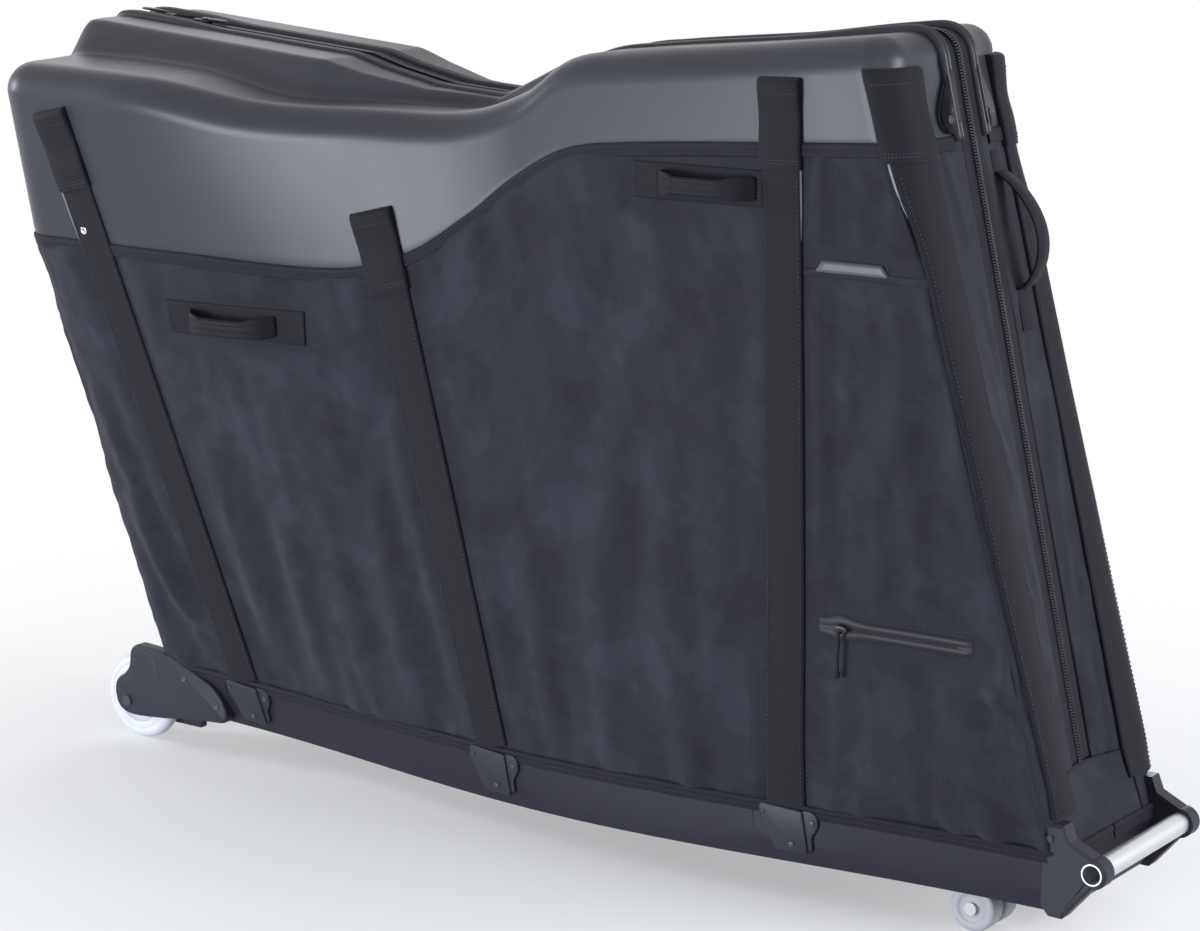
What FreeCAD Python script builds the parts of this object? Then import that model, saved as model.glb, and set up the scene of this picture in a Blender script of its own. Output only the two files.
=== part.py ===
import FreeCAD, Part
import math
import os

# A wheeled travel case for a road bicycle, in millimetres.
# +X is the front with the tow handle, -Y the right-hand side, +Z up, and the floor is z = 0.
# The zip on the centre plane parts the case into two mirrored halves that fold out from the base seam.

# Case walls: half-widths and reaches at the seam and at the width level
seam_height = 104.0
width_level = 780.0
middle_level = 602.0
rear_seam_reach = 530.0
rear_corner_reach = 619.0
rear_centre_reach = 672.5
front_seam_reach = 630.0
front_top_reach = 446.0
seam_end_half_width = 102.0
seam_middle_half_width = 145.0
nose_half_width = 113.0
flare_taper = 28.0
flare_step = 105.0
flare_start_reach = 470.0
front_hollow = 20.0
front_swell = 9.0
nose_bulge = 8.0
rear_corner_radius = 42.0
front_corner_radius = 20.0
least_corner_radius = 2.0
shoulder_radius = 32.0
roof_end_run = 40.0

# Roof: shares of the top length, from the rear, and of the case height
case_height = 872.0
shelf_shares = ((0.0, 0.914), (0.22, 0.904), (0.334, 0.88), (0.437, 0.876), (0.535, 0.877),
                (0.603, 0.906), (0.648, 0.945), (0.70, 0.957), (0.852, 0.976), (1.0, 0.997))
ridge_shares = ((0.0, 0.951), (0.061, 0.952), (0.35, 0.922), (0.39, 0.908), (0.452, 0.892),
                (0.532, 0.885), (0.614, 0.936), (0.69, 0.936))
plateau_half_width = 88.0
plateau_foot_run = 46.0
ridge_half_width = 46.0
ridge_foot_run = 16.0
plateau_sink = 30.0
plateau_end_inset = 34.0
plateau_end_radius = 14.0
plateau_narrowing_shares = (0.33, 0.53)

# Skins of the halves
shell_wall = 3.0
fabric_wall = 4.0
skin_clearance = 0.3
zip_half_width = 20.0
zip_gap = 0.3
zip_sink = 1.0
zip_tape_thickness = 2.0
zip_foot_height = 165.0
rim_width = 12.0
rim_stand = 7.0
front_rim_end_share = 0.893
rear_rim_end_share = 0.775
wave_shares = ((-0.1, 0.694), (0.214, 0.69), (0.365, 0.685), (0.426, 0.71), (0.475, 0.757),
               (0.518, 0.807), (0.564, 0.844), (0.618, 0.857), (0.748, 0.87), (1.1, 0.9))
binding_width = 12.5
binding_thickness = 1.6
front_panel_inset = 36.0
rear_panel_inset = 48.0
lower_panel_front_x = 580.0
lower_panel_rear_x = -490.0
lower_panel_half_width = 66.0
panel_gap = 0.5

# Flat stays in webbing sleeves, with caps over their tops
sleeve_width = 42.0
sleeve_thickness = 4.0
stay_width = 32.0
stay_thickness = 2.0
stay_play = 0.1
cap_width = 46.0
cap_length = 88.0
cap_thickness = 3.2
cap_top_band = 9.0
stay_foot_lift = 2.0
side_stay_shares = ((0.216, 0.105, 0.858), (0.504, 0.3945, 0.759), (0.7737, 0.757, 0.944))
corner_stay_foot_out = 79.0
corner_stay_head_out = 90.0
corner_stay_foot_height = 138.0
corner_stay_head_height = 836.0

# Base tub
tub_bottom = 52.0
tub_wall = 3.0
tub_floor = 4.0
skirt_drop = 7.0
tub_bend_height = 66.0
tub_bend_inset = 1.0
tub_bottom_inset = 5.0
tub_top_gap = 1.0
tub_front_inset = 16.0

# Stay holders on the tub wall
holder_width = 48.0
holder_height = 44.0
holder_thickness = 6.0
holder_sink = 1.0
holder_ear_width = 13.0
holder_ear_height = 26.0
holder_ear_thickness = 3.0
rivet_radius = 3.4
rivet_head = 1.6

# Rear wheels on moulded arms
rear_axle_reach = 577.0
rear_wheel_radius = 50.0
rear_wheel_width = 24.0
rear_wheel_out = 76.0
rear_hub_radius = 30.0
rear_hub_recess = 3.0
axle_radius = 4.0
axle_clearance = 0.05
axle_head_radius = 6.5
axle_head_height = 2.0
arm_cheek = 9.0
arm_outer_cheek = 16.0
wheel_side_gap = 2.5
arm_bridge_reach = 508.0
arm_bridge_run = 14.0
arm_foot_reach = 442.0
arm_tail = 22.0
arm_top_height = 122.0
arm_low_height = 42.0
arm_foot_top = 74.0
arm_edge_radius = 6.0
well_front_reach = 512.0
inner_cheek_low_share = 0.36
inner_cheek_top_share = 1.8

# Front corner castings and the tow tube
tow_tube_x = 661.0
tow_tube_height = 92.0
tow_tube_radius = 11.0
tow_tube_wall = 1.8
tow_half_width = 103.0
tow_seat_clearance = 0.05
eye_radius = 15.0
casting_thickness = 19.0
casting_rear_x = 606.0
casting_top_height = 134.0
casting_low_height = 41.0
casting_nose_x = 630.0
casting_edge_radius = 6.0
casting_screw_x = 617.0
casting_screw_height = 120.0

# Front twin wheels on brackets under the tub
front_wheel_x = 524.0
front_wheel_radius = 24.5
front_wheel_width = 22.0
front_pair_out = 59.0
front_bracket_web = 6.0
front_bracket_length = 46.0
front_bracket_foot = 2.2
front_wheel_gap = 0.6
front_axle_end = 3.0

# Stand inside, on which the bicycle is carried by its fork and rear frame ends
rail_width = 44.0
rail_height = 26.0
rail_wall = 3.0
rail_rear_x = -400.0
rail_front_x = 440.0
rail_slot_width = 12.0
post_length = 46.0
post_width = 30.0
post_height = 92.0
post_web = 8.0
fork_post_x = 405.0
rear_post_x = -345.0
fork_axle_half_length = 50.0
frame_axle_half_length = 71.0
dummy_axle_radius = 6.0
rail_play = 0.3

# Carrying handles
handle_thickness = 6.0
handle_height = 27.0
handle_gap = 18.0
handle_length = 112.0
handle_bend_radius = 9.0
patch_height = 40.0
patch_length = 172.0
patch_thickness = 2.0
side_handle_shares = ((0.266, 0.609), (0.696, 0.819))
end_handle_out = 44.0
end_handle_low = 615.0
end_handle_high = 728.0
end_handle_stand = 37.0
end_handle_width = 22.0

# Side pocket with its zip
pocket_rear_x = 366.0
pocket_front_x = 530.0
pocket_height = 293.0
pocket_welt = 24.0
pocket_slit = 7.0
pocket_slider_length = 16.0
pocket_slider_width = 9.0
pocket_slider_height = 4.0
pocket_slider_start = 14.0
pocket_slider_clearance = 1.2
pocket_pull_length = 42.0
pocket_pull_radius = 2.2

# Main zip sliders with their pulls
slider_length = 26.0
slider_width = 13.0
slider_height = 5.0
slider_clearance = 0.3
pull_length = 34.0
pull_width = 9.0
pull_thickness = 2.4
front_slider_share = 0.128
rear_slider_share = 0.078

# One overrun serves every cut
overrun = 5.0
cut_reach = 1500.0

V = FreeCAD.Vector


def lerp(a, b, t):
    return a + (b - a) * t


def ease(t):
    t = min(max(t, 0.0), 1.0)
    return t * t * (3 - 2 * t)


def curve_value(table, x):
    """Height of a smooth profile through hand-picked points."""
    xs = [p[0] for p in table]
    i = 0
    while i < len(xs) - 2 and x > xs[i + 1]:
        i += 1

    def slope(k):
        a = max(k - 1, 0)
        b = min(k + 1, len(xs) - 1)
        return (table[b][1] - table[a][1]) / (xs[b] - xs[a])

    run = xs[i + 1] - xs[i]
    t = min(max((x - xs[i]) / run, 0.0), 1.0)
    a = (1 + 2 * t) * (1 - t) ** 2 * table[i][1] + t * t * (3 - 2 * t) * table[i + 1][1]
    return a + run * (t * (1 - t) ** 2 * slope(i) - t * t * (1 - t) * slope(i + 1))


top_length = rear_centre_reach + front_top_reach
body_length = rear_centre_reach + front_seam_reach


def top_share(x):
    return (x + rear_centre_reach) / top_length


def at_body(share):
    return share * body_length - rear_centre_reach


def shelf(x):
    return case_height * curve_value(shelf_shares, top_share(x))


def ridge(x):
    """Height of the raised roof along the zip, straight from one station to the next."""
    share = top_share(x)
    k = 0
    while k < len(ridge_shares) - 2 and share > ridge_shares[k + 1][0]:
        k += 1
    (a, low), (b, high) = ridge_shares[k], ridge_shares[k + 1]
    return case_height * lerp(low, high, (share - a) / (b - a))


def side_plan(s, z):
    """Place on the side wall, as x and distance out, at a share of its run and a height."""
    f = (z - seam_height) / (width_level - seam_height)
    rear_f = min((z - seam_height) / (middle_level - seam_height), 1.0)
    rear_x = -lerp(rear_seam_reach, rear_corner_reach, rear_f)
    front_x = lerp(front_seam_reach, front_top_reach, f)
    low_out = lerp(seam_end_half_width, seam_middle_half_width, math.sin(math.pi * s) ** 2)
    low_out += front_swell * fullness(z) * s ** 4
    top_x = lerp(-rear_corner_reach, front_top_reach, s)
    step = 1 - ease((top_x + flare_start_reach) / flare_start_reach)
    top_out = nose_half_width + flare_taper * (1 - s) + flare_step * step
    return lerp(rear_x, front_x, s), lerp(low_out, top_out, f)


def fullness(z):
    """Share of the fabric's sag at a height: none at the seam, most at the zip's foot, none again half-way up."""
    if z < zip_foot_height:
        return max(z - seam_height, 0.0) / (zip_foot_height - seam_height)
    return max(middle_level - z, 0.0) / (middle_level - zip_foot_height)


def rear_plan(t, z):
    """Place on the rear wall, from the centre to the start of its corner."""
    f = (z - seam_height) / (width_level - seam_height)
    corner_x, corner_out = side_plan(0, z)
    centre_x = lerp(-rear_seam_reach, -rear_centre_reach, f)
    return lerp(centre_x, corner_x, ease(t)), (corner_out - rear_corner_radius) * t


def front_plan(t, z):
    """Place on the front wall, from the end of its corner to the centre, drawn in below and full above."""
    x, out = side_plan(1, z)
    bulge = nose_bulge * max(z - middle_level, 0.0) / (width_level - middle_level)
    return x + (bulge - front_hollow * fullness(z)) * ease(t), (out - front_corner_radius) * (1 - t)


def front_x(z):
    return side_plan(1, z)[0]


def front_wall_x(out, z):
    """Front wall at a distance from the centre plane."""
    return front_plan(1 - out / (side_plan(1, z)[1] - front_corner_radius), z)[0]


def wall_out(x, z):
    """Distance of the side wall from the centre plane."""
    rear = side_plan(0, z)[0]
    front = side_plan(1, z)[0]
    return side_plan((x - rear) / (front - rear), z)[1]


def spline(points):
    curve = Part.BSplineCurve()
    curve.interpolate(points)
    return curve.toShape()


def bezier(points):
    curve = Part.BezierCurve()
    curve.setPoles(points)
    return curve.toShape()


def line(a, b):
    return Part.makeLine(a, b)


side_sample_shares = [k / 13 for k in range(14)]
end_sample_shares = [k / 4 for k in range(5)]


def ring(place, inset):
    """Five edges round the right half: rear, corner, side, corner, front.
    place(plan, share, inward) turns a place in plan into a point, set in from the wall."""
    length = rear_corner_reach + front_top_reach
    first = rear_corner_radius / length
    last = 1 - front_corner_radius / length
    rear_turn = max(rear_corner_radius - inset, least_corner_radius)
    front_turn = max(front_corner_radius - inset, least_corner_radius)
    rear_pole = place(side_plan, 0, (1, -1))
    front_pole = place(side_plan, 1, (-1, -1))
    rear = [place(rear_plan, t, (1, 0)) for t in end_sample_shares[:-1]] + [rear_pole + V(0, rear_turn, 0)]
    side = [rear_pole + V(rear_turn, 0, 0)]
    side += [place(side_plan, lerp(first, last, s), (0, -1)) for s in side_sample_shares[1:-1]]
    side += [front_pole - V(front_turn, 0, 0)]
    front = [front_pole + V(0, front_turn, 0)] + [place(front_plan, t, (-1, 0)) for t in end_sample_shares[1:]]
    return [spline(rear), bezier([rear[-1], rear_pole, side[0]]), spline(side),
            bezier([side[-1], front_pole, front[0]]), spline(front)]


def hull_ring(inset, drop, grow, lift):
    """Ring on the shoulder, set in from the wall and down from the roof, grown outwards."""
    def place(plan, share, inward):
        z = width_level
        for _ in range(6):
            x, out = plan(share, z)
            z = shelf(x) - drop
        step = inset - grow
        return V(x + inward[0] * step, -max(out + inward[1] * step, 0.0), z + lift * grow)
    return ring(place, inset - grow)


def seam_ring(z, inset, front_inset=0.0):
    """Flat ring on the wall at one height."""
    def place(plan, share, inward):
        x, out = plan(share, z)
        ahead = front_inset if inward[0] < 0 else 0.0
        return V(x + inward[0] * (inset + ahead), -max(out + inward[1] * inset, 0.0), z)
    return ring(place, inset)


def roof_line(grow):
    """The roof on the centre plane, in as many edges as a ring has."""
    rear = rear_plan(0, shelf(-rear_centre_reach))[0] + shoulder_radius + roof_end_run
    front = front_plan(1, shelf(front_top_reach))[0] - shoulder_radius - roof_end_run

    def top(x):
        return V(x, 0, shelf(x) + grow)

    marks = [rear, rear + roof_end_run, rear + roof_end_run + roof_end_run]
    marks += [front - roof_end_run - roof_end_run, front - roof_end_run, front]
    edges = []
    for k in range(5):
        shares = side_sample_shares if k == 2 else end_sample_shares
        edges.append(spline([top(lerp(marks[k], marks[k + 1], s)) for s in shares]))
    return edges


def end_points(edges):
    first = edges[0].valueAt(edges[0].FirstParameter)
    last = edges[-1].valueAt(edges[-1].LastParameter)
    return first, last


def half_hull(grow):
    """Right half of the closed case form, its walls and roof grown outwards."""
    turn = 1 - math.sqrt(0.5)
    rings = [seam_ring(z, -grow) for z in (seam_height, zip_foot_height, middle_level)]
    rings += [hull_ring(0.0, shoulder_radius, grow, 0.0),
              hull_ring(turn * shoulder_radius, turn * shoulder_radius, grow, 1 - turn),
              hull_ring(shoulder_radius, 0.0, grow, 1.0), roof_line(grow)]
    skin = Part.makeLoft([Part.Wire(edges) for edges in rings], False, True)
    ends = [end_points(edges) for edges in rings]
    floor = Part.Face(Part.Wire(rings[0] + [line(ends[0][1], ends[0][0])]))
    middle = [line(ends[0][1], ends[0][0])] + list(rings[-1])
    for k in range(len(rings) - 1):
        middle.append(line(ends[k][0], ends[k + 1][0]))
        middle.append(line(ends[k][1], ends[k + 1][1]))
    centre = Part.Face(Part.Wire(Part.__sortEdges__(middle)))
    shell = Part.makeShell(skin.Faces + [floor, centre])
    shell.sewShape()
    solid = Part.makeSolid(shell)
    if solid.Volume < 0:
        solid.reverse()
    return solid


def half_plateau(grow):
    """Right half of the raised roof along the zip, from the rear end to the valley."""
    marks = [share * top_length - rear_centre_reach for share, _ in ridge_shares]
    marks[0] += plateau_end_inset - grow
    sections = []
    for x in marks:
        blend = ease((top_share(x) - plateau_narrowing_shares[0])
                     / (plateau_narrowing_shares[1] - plateau_narrowing_shares[0]))
        top_out = lerp(plateau_half_width, ridge_half_width, blend) + grow
        foot_out = top_out + lerp(plateau_foot_run, ridge_foot_run, blend)
        low = min(shelf(x), ridge(x)) - plateau_sink
        corners = [V(x, 0, ridge(x) + grow), V(x, -top_out, ridge(x) + grow),
                   V(x, -foot_out, low), V(x, 0, low)]
        sections.append(Part.makePolygon(corners + corners[:1]))
    bar = Part.makeLoft(sections, True, True)
    rear = min(v.X for v in bar.Vertexes)
    high = [e for e in bar.Edges if all(v.X < rear + overrun and v.Z > ridge(rear) - overrun for v in e.Vertexes)]
    return bar.makeFillet(plateau_end_radius, high)


def half_form(grow):
    return half_hull(grow).fuse(half_plateau(grow)).removeSplitter()


def block(x0, x1, out0, out1, z0, z1):
    """Box on the right side between two distances out."""
    return Part.makeBox(x1 - x0, out1 - out0, z1 - z0, V(x0, -out1, z0))


def side_prism(points):
    """Prism across the right half from an outline of (x, z) places."""
    corners = [V(x, 0, z) for x, z in points]
    face = Part.Face(Part.makePolygon(corners + corners[:1]))
    return face.extrude(V(0, -cut_reach, 0))


def strip_outline(foot, head, width):
    """Four corners of a straight strip between two (u, z) places."""
    run = math.hypot(head[0] - foot[0], head[1] - foot[1])
    across = ((head[1] - foot[1]) / run * width / 2, -(head[0] - foot[0]) / run * width / 2)
    return [(foot[0] - across[0], foot[1] - across[1]), (foot[0] + across[0], foot[1] + across[1]),
            (head[0] + across[0], head[1] + across[1]), (head[0] - across[0], head[1] - across[1])]


def along(foot, head, distance):
    """Place on the line from foot to head, a distance past the head."""
    run = math.hypot(head[0] - foot[0], head[1] - foot[1])
    return (head[0] + (head[0] - foot[0]) / run * distance, head[1] + (head[1] - foot[1]) / run * distance)


def mirrored(shape):
    return shape.mirror(V(0, 0, 0), V(0, 1, 0))


def above_wave(shift):
    """Everything above the edge between shell and fabric, moved down by a shift."""
    points = [V(at_body(a), 0, case_height * b - shift) for a, b in wave_shares]
    roof = case_height + cut_reach
    high = [V(points[-1].x, 0, roof), V(points[0].x, 0, roof)]
    edges = [spline(points), line(points[-1], high[0]), line(high[0], high[1]), line(high[1], points[0])]
    return Part.Face(Part.Wire(edges)).extrude(V(0, -cut_reach, 0))


def front_of(inset):
    """Everything ahead of a plane set back from the front end."""
    low = front_x(0.0) - inset
    high = front_x(case_height + overrun) - inset
    return side_prism([(low, 0.0), (low + cut_reach, 0.0), (low + cut_reach, case_height + overrun),
                       (high, case_height + overrun)])


def rear_of(inset):
    low = rear_plan(1, 0.0)[0] + inset
    high = rear_plan(1, case_height + overrun)[0] + inset
    return side_prism([(low, 0.0), (low - cut_reach, 0.0), (low - cut_reach, case_height + overrun),
                       (high, case_height + overrun)])


def lower_ends(gap):
    """Spaces of the two fixed panels below the zip's ends."""
    top = zip_foot_height + gap
    out = lower_panel_half_width + gap
    return [block(lower_panel_front_x - gap, lower_panel_front_x + cut_reach, 0, out, 0, top),
            block(lower_panel_rear_x + gap - cut_reach, lower_panel_rear_x + gap, 0, out, 0, top)]


def base_ends(gap):
    """Spaces round the front castings and the rear arms, kept free by the folding fabric."""
    arm_x = arm_bridge_run - arm_bridge_reach + gap
    return [block(casting_rear_x - gap, cut_reach, 0, cut_reach, 0, casting_top_height + gap),
            block(-cut_reach, arm_x, 0, cut_reach, 0, arm_top_height + gap)]


form = half_form(0.0)
shell_space = half_form(-shell_wall)
cloth_space = half_form(-fabric_wall)
raised = {}


def layer(low, high):
    """Skin of the walls between two distances outside them."""
    for d in (low, high):
        if d not in raised:
            raised[d] = half_hull(d)
    return raised[high].cut(raised[low])


def rim_space():
    """Space of the rim flange beside the zip, down to its two ends."""
    strip = block(-cut_reach, cut_reach, zip_half_width, zip_half_width + rim_width, 0, cut_reach)
    front = block(0, cut_reach, 0, cut_reach, 0, case_height * front_rim_end_share)
    rear = block(-cut_reach, 0, 0, cut_reach, 0, case_height * rear_rim_end_share)
    return strip.cut(front).cut(rear)


def half_shell():
    body = form.cut(shell_space).common(above_wave(0.0))
    body = body.cut(block(-cut_reach, cut_reach, 0, zip_half_width, 0, cut_reach))
    return body.cut(rim_space())


def half_rim():
    return half_form(rim_stand).cut(shell_space).common(rim_space())


def half_zip_tape():
    band = half_form(-zip_sink).cut(half_form(-zip_sink - zip_tape_thickness))
    band = band.common(block(-cut_reach, cut_reach, zip_gap, zip_half_width, 0, cut_reach))
    return band.cut(block(-cut_reach, cut_reach, 0, cut_reach, 0, zip_foot_height + panel_gap))


def half_cloth():
    """Fabric below the shell, without the zip's strip and the fixed lower ends."""
    body = form.cut(cloth_space).cut(above_wave(0.0)).cut(rim_space())
    body = body.cut(block(-cut_reach, cut_reach, 0, zip_half_width, zip_foot_height, cut_reach))
    for space in lower_ends(panel_gap) + base_ends(panel_gap):
        body = body.cut(space)
    return body.cut(block(-cut_reach, cut_reach, 0, cut_reach, 0, seam_height + stay_foot_lift))


def lower_panels():
    """Fixed fabric below the zip at the front and at the rear, across both halves."""
    body = form.cut(cloth_space).cut(block(-cut_reach, cut_reach, 0, cut_reach, 0, seam_height + tub_top_gap))
    ends = []
    for space in lower_ends(0.0):
        half = body.common(space)
        ends.append(half.fuse(mirrored(half)).removeSplitter())
    return ends


def stay_line(shares):
    foot, head, top = shares
    return (at_body(foot), seam_height), (at_body(head), case_height * top)


def corner_strip(width, low, high):
    """Strip up the front end beside its edge, as a prism along X."""
    run = corner_stay_head_height - corner_stay_foot_height

    def out_at(z):
        return lerp(corner_stay_foot_out, corner_stay_head_out, (z - corner_stay_foot_height) / run)

    corners = [V(0, -out_at(low) - width / 2, low), V(0, -out_at(low) + width / 2, low),
               V(0, -out_at(high) + width / 2, high), V(0, -out_at(high) - width / 2, high)]
    return Part.Face(Part.makePolygon(corners + corners[:1])).extrude(V(cut_reach, 0, 0))


def front_end_only(shape):
    return shape.common(front_of(fabric_wall + shoulder_radius))


def strips(width, low_cut, high_cut):
    """Prisms of one width over all four stays of a half, shortened or lengthened at their heads."""
    found = []
    for shares in side_stay_shares:
        foot, head = stay_line(shares)
        low = along(head, foot, overrun) if low_cut is None else along(foot, head, -low_cut)
        found.append(side_prism(strip_outline(low, along(foot, head, -high_cut), width)))
    low = corner_stay_foot_height if low_cut is None else corner_stay_head_height - low_cut
    found.append(corner_strip(width, low, corner_stay_head_height - high_cut))
    return found


above_seam = block(-cut_reach, cut_reach, 0, cut_reach, seam_height + stay_foot_lift, cut_reach)


def on_stay(skin, index):
    """The stretch of a skin that one stay lies on."""
    return front_end_only(skin) if index == 3 else skin


def stay_pieces(low, high, width, low_cut, high_cut):
    skin = layer(low, high).common(above_seam)
    return [on_stay(skin, k).common(prism) for k, prism in enumerate(strips(width, low_cut, high_cut))]


sleeve_low = skin_clearance
sleeve_high = sleeve_low + sleeve_thickness
stay_low = sleeve_low + (sleeve_thickness - stay_thickness) / 2
stay_high = stay_low + stay_thickness
cap_low = sleeve_high + skin_clearance
cap_high = cap_low + cap_thickness


def half_stays():
    return stay_pieces(stay_low, stay_high, stay_width, None, cap_top_band + skin_clearance)


def half_sleeves():
    pockets = stay_pieces(stay_low - stay_play, stay_high + stay_play, stay_width + stay_play + stay_play,
                          None, 0.0)
    tubes = stay_pieces(sleeve_low, sleeve_high, sleeve_width, None, cap_length / 2)
    return [tube.cut(pocket) for tube, pocket in zip(tubes, pockets)]


def half_caps():
    """Webbing pockets, open below and closed by a band over the top of each stay."""
    pockets = stay_pieces(sleeve_low, cap_high, cap_width, cap_length, 0.0)
    hollows = strips(cap_width + overrun, cap_length + overrun, cap_top_band)
    return [pocket.cut(half_hull(cap_low).common(hollow)) for pocket, hollow in zip(pockets, hollows)]


def half_binding():
    """Tape sewn over the edge of the fabric, from stay to stay."""
    band = layer(skin_clearance, skin_clearance + binding_thickness)
    band = band.common(above_wave(binding_width)).cut(above_wave(0.0))
    band = band.cut(block(-cut_reach, cut_reach, 0, zip_half_width + rim_width, 0, cut_reach))
    for prism in strips(cap_width + skin_clearance + skin_clearance, None, 0.0):
        band = band.cut(prism)
    return band


def wall_frame(x, z, reach=overrun):
    """Placement on the side wall: X forwards along a reach of it, Z up it, -Y straight out of it."""
    here = V(x, -wall_out(x, z), z)
    ahead = V(x + reach, -wall_out(x + reach, z), z)
    over = V(x, -wall_out(x, z + overrun), z + overrun)
    forward = (ahead - here).normalize()
    outward = (over - here).cross(forward).normalize() * -1
    upward = forward.cross(outward * -1)
    turn = FreeCAD.Rotation(forward, outward * -1, upward)
    return FreeCAD.Placement(here, turn)


def loop_grip():
    """Bowed grip with both ends down on its patch, its plan drawn below the X axis."""
    base = patch_thickness + skin_clearance
    half = handle_length / 2
    rise = base + handle_gap
    lead = handle_gap
    outer = [(-half, base), (-half + lead, rise + handle_thickness), (half - lead, rise + handle_thickness), (half, base)]
    inner = [(half - handle_thickness, base), (half - lead - handle_thickness / 2, rise),
             (lead + handle_thickness / 2 - half, rise), (handle_thickness - half, base)]
    corners = [V(x, -y, 0) for x, y in outer + inner]
    bar = Part.Face(Part.makePolygon(corners + corners[:1])).extrude(V(0, 0, handle_height))
    bends = [e for e in bar.Edges if abs(e.Vertexes[0].Z - e.Vertexes[-1].Z) > handle_height / 2
             and e.Vertexes[0].Y < -base - skin_clearance]
    return bar.makeFillet(handle_bend_radius, bends)


def placed(shape, place):
    shape.Placement = place.multiply(shape.Placement)
    return shape


def side_handle(shares):
    """Sewn patch with a bowed grip standing off it."""
    x, z = at_body(shares[0]), case_height * shares[1]
    patch = layer(skin_clearance, skin_clearance + patch_thickness)
    half = patch_length / 2
    patch = patch.common(side_prism([(x - half, z - patch_height / 2), (x + half, z - patch_height / 2),
                                     (x + half, z + patch_height / 2), (x - half, z + patch_height / 2)]))
    for prism in strips(cap_width + skin_clearance + skin_clearance, None, 0.0):
        patch = patch.cut(prism)
    grip = loop_grip()
    grip.translate(V(0, 0, -handle_height / 2))
    return Part.makeCompound([patch, placed(grip, wall_frame(x, z))])


def end_handle():
    """Webbing loop up the front end of the left half, bowed forwards, on two sewn tabs."""
    low, high, middle = end_handle_low, end_handle_high, (end_handle_low + end_handle_high) / 2

    def bow(inset):
        rise = end_handle_stand - inset + skin_clearance
        ends = [V(front_wall_x(end_handle_out, z) + skin_clearance, 0, z) for z in (low + inset, high - inset)]
        crown = V(front_wall_x(end_handle_out, middle) + rise, 0, middle)
        return Part.Arc(ends[0], crown, ends[1]).toShape()

    outer, inner = bow(0.0), bow(handle_thickness / 2)
    a, b = outer.valueAt(outer.FirstParameter), outer.valueAt(outer.LastParameter)
    c, d = inner.valueAt(inner.FirstParameter), inner.valueAt(inner.LastParameter)
    loop = Part.Face(Part.Wire([outer, line(b, d), inner, line(c, a)])).extrude(V(0, end_handle_width, 0))
    loop.translate(V(0, end_handle_out - end_handle_width / 2, 0))
    tab_run = patch_height
    tabs = []
    for z0, z1 in ((low - tab_run, low - skin_clearance), (high + skin_clearance, high + tab_run / 2)):
        tab = mirrored(front_end_only(layer(skin_clearance, skin_clearance + patch_thickness)))
        half = end_handle_width / 2
        tabs.append(tab.common(mirrored(block(0, cut_reach, end_handle_out - half, end_handle_out + half, z0, z1))))
    return Part.makeCompound([loop] + tabs)


def whole(half):
    return half.fuse(mirrored(half)).removeSplitter()


def cylinder_y(x, z, radius, out0, out1):
    """Round bar across the right half between two distances out."""
    return Part.makeCylinder(radius, out1 - out0, V(x, -out1, z), V(0, 1, 0))


def tub_solid(grow, floor, top):
    """Closed form of the right half of the tub, bent in towards its bottom."""
    wires = []
    for z, inset in ((top, 0.0), (tub_bend_height, tub_bend_inset), (floor, tub_bottom_inset)):
        edges = seam_ring(z, inset - grow, tub_front_inset * inset / tub_bottom_inset)
        first, last = end_points(edges)
        wires.append(Part.Wire(edges + [line(last, first)]))
    return Part.makeLoft(wires, True, True)


tub_top = seam_height - tub_top_gap
cheek_inner_out = rear_wheel_out - rear_wheel_width / 2 - wheel_side_gap
cheek_outer_out = rear_wheel_out + rear_wheel_width / 2 + wheel_side_gap
arm_face_out = cheek_outer_out + arm_outer_cheek


def wheel_well(grow):
    """Corner of the tub that is left free for a rear wheel and its arm."""
    return block(-cut_reach, grow - well_front_reach, cheek_inner_out - arm_cheek - grow, cut_reach, 0, cut_reach)


def base_tray(cutters):
    """Moulded tub with wheel wells, open at the top, its wall carried below the floor as a skirt."""
    low = tub_bottom - skirt_drop
    outer = tub_solid(0.0, low, tub_top).cut(wheel_well(0.0))
    inner = tub_solid(-tub_wall, tub_bottom + tub_floor, tub_top + overrun).cut(wheel_well(tub_wall))
    edges = seam_ring(low - overrun, tub_bottom_inset + tub_wall, tub_front_inset)
    first, last = end_points(edges)
    under = Part.Face(Part.Wire(edges + [line(last, first)])).extrude(V(0, 0, skirt_drop + overrun))
    tub = outer.cut(inner).cut(under.cut(wheel_well(tub_wall)))
    for cutter in cutters:
        tub = tub.cut(cutter)
    return whole(tub)


def holder_places():
    """Middle of each side stay's holder, on the tub wall below the stay's foot."""
    z = tub_top - skin_clearance - holder_height / 2
    return [wall_frame(at_body(shares[0]), z) for shares in side_stay_shares]


def plate_outline(points, thickness):
    """Plate in a wall's own plane, let into it a little, from an outline of (along, up) places."""
    corners = [V(u, holder_sink, w) for u, w in points]
    face = Part.Face(Part.makePolygon(corners + corners[:1]))
    return face.extrude(V(0, -holder_sink - thickness, 0))


def stay_holders():
    """Plates on the tub wall below the side stays, each with an ear at both edges."""
    half, wide = holder_width / 2, holder_width / 2 + holder_ear_width
    top, low = holder_height / 2, -holder_height / 2
    ear = top - holder_ear_height
    plates = []
    for place in holder_places():
        main = plate_outline([(-half, low), (half, low), (half, top), (-half, top)], holder_thickness)
        ears = plate_outline([(-wide, ear), (-half, low / 2), (half, low / 2), (wide, ear), (wide, top), (-wide, top)],
                             holder_ear_thickness)
        plates.append(placed(main.fuse(ears).removeSplitter(), place))
    return plates


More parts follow.
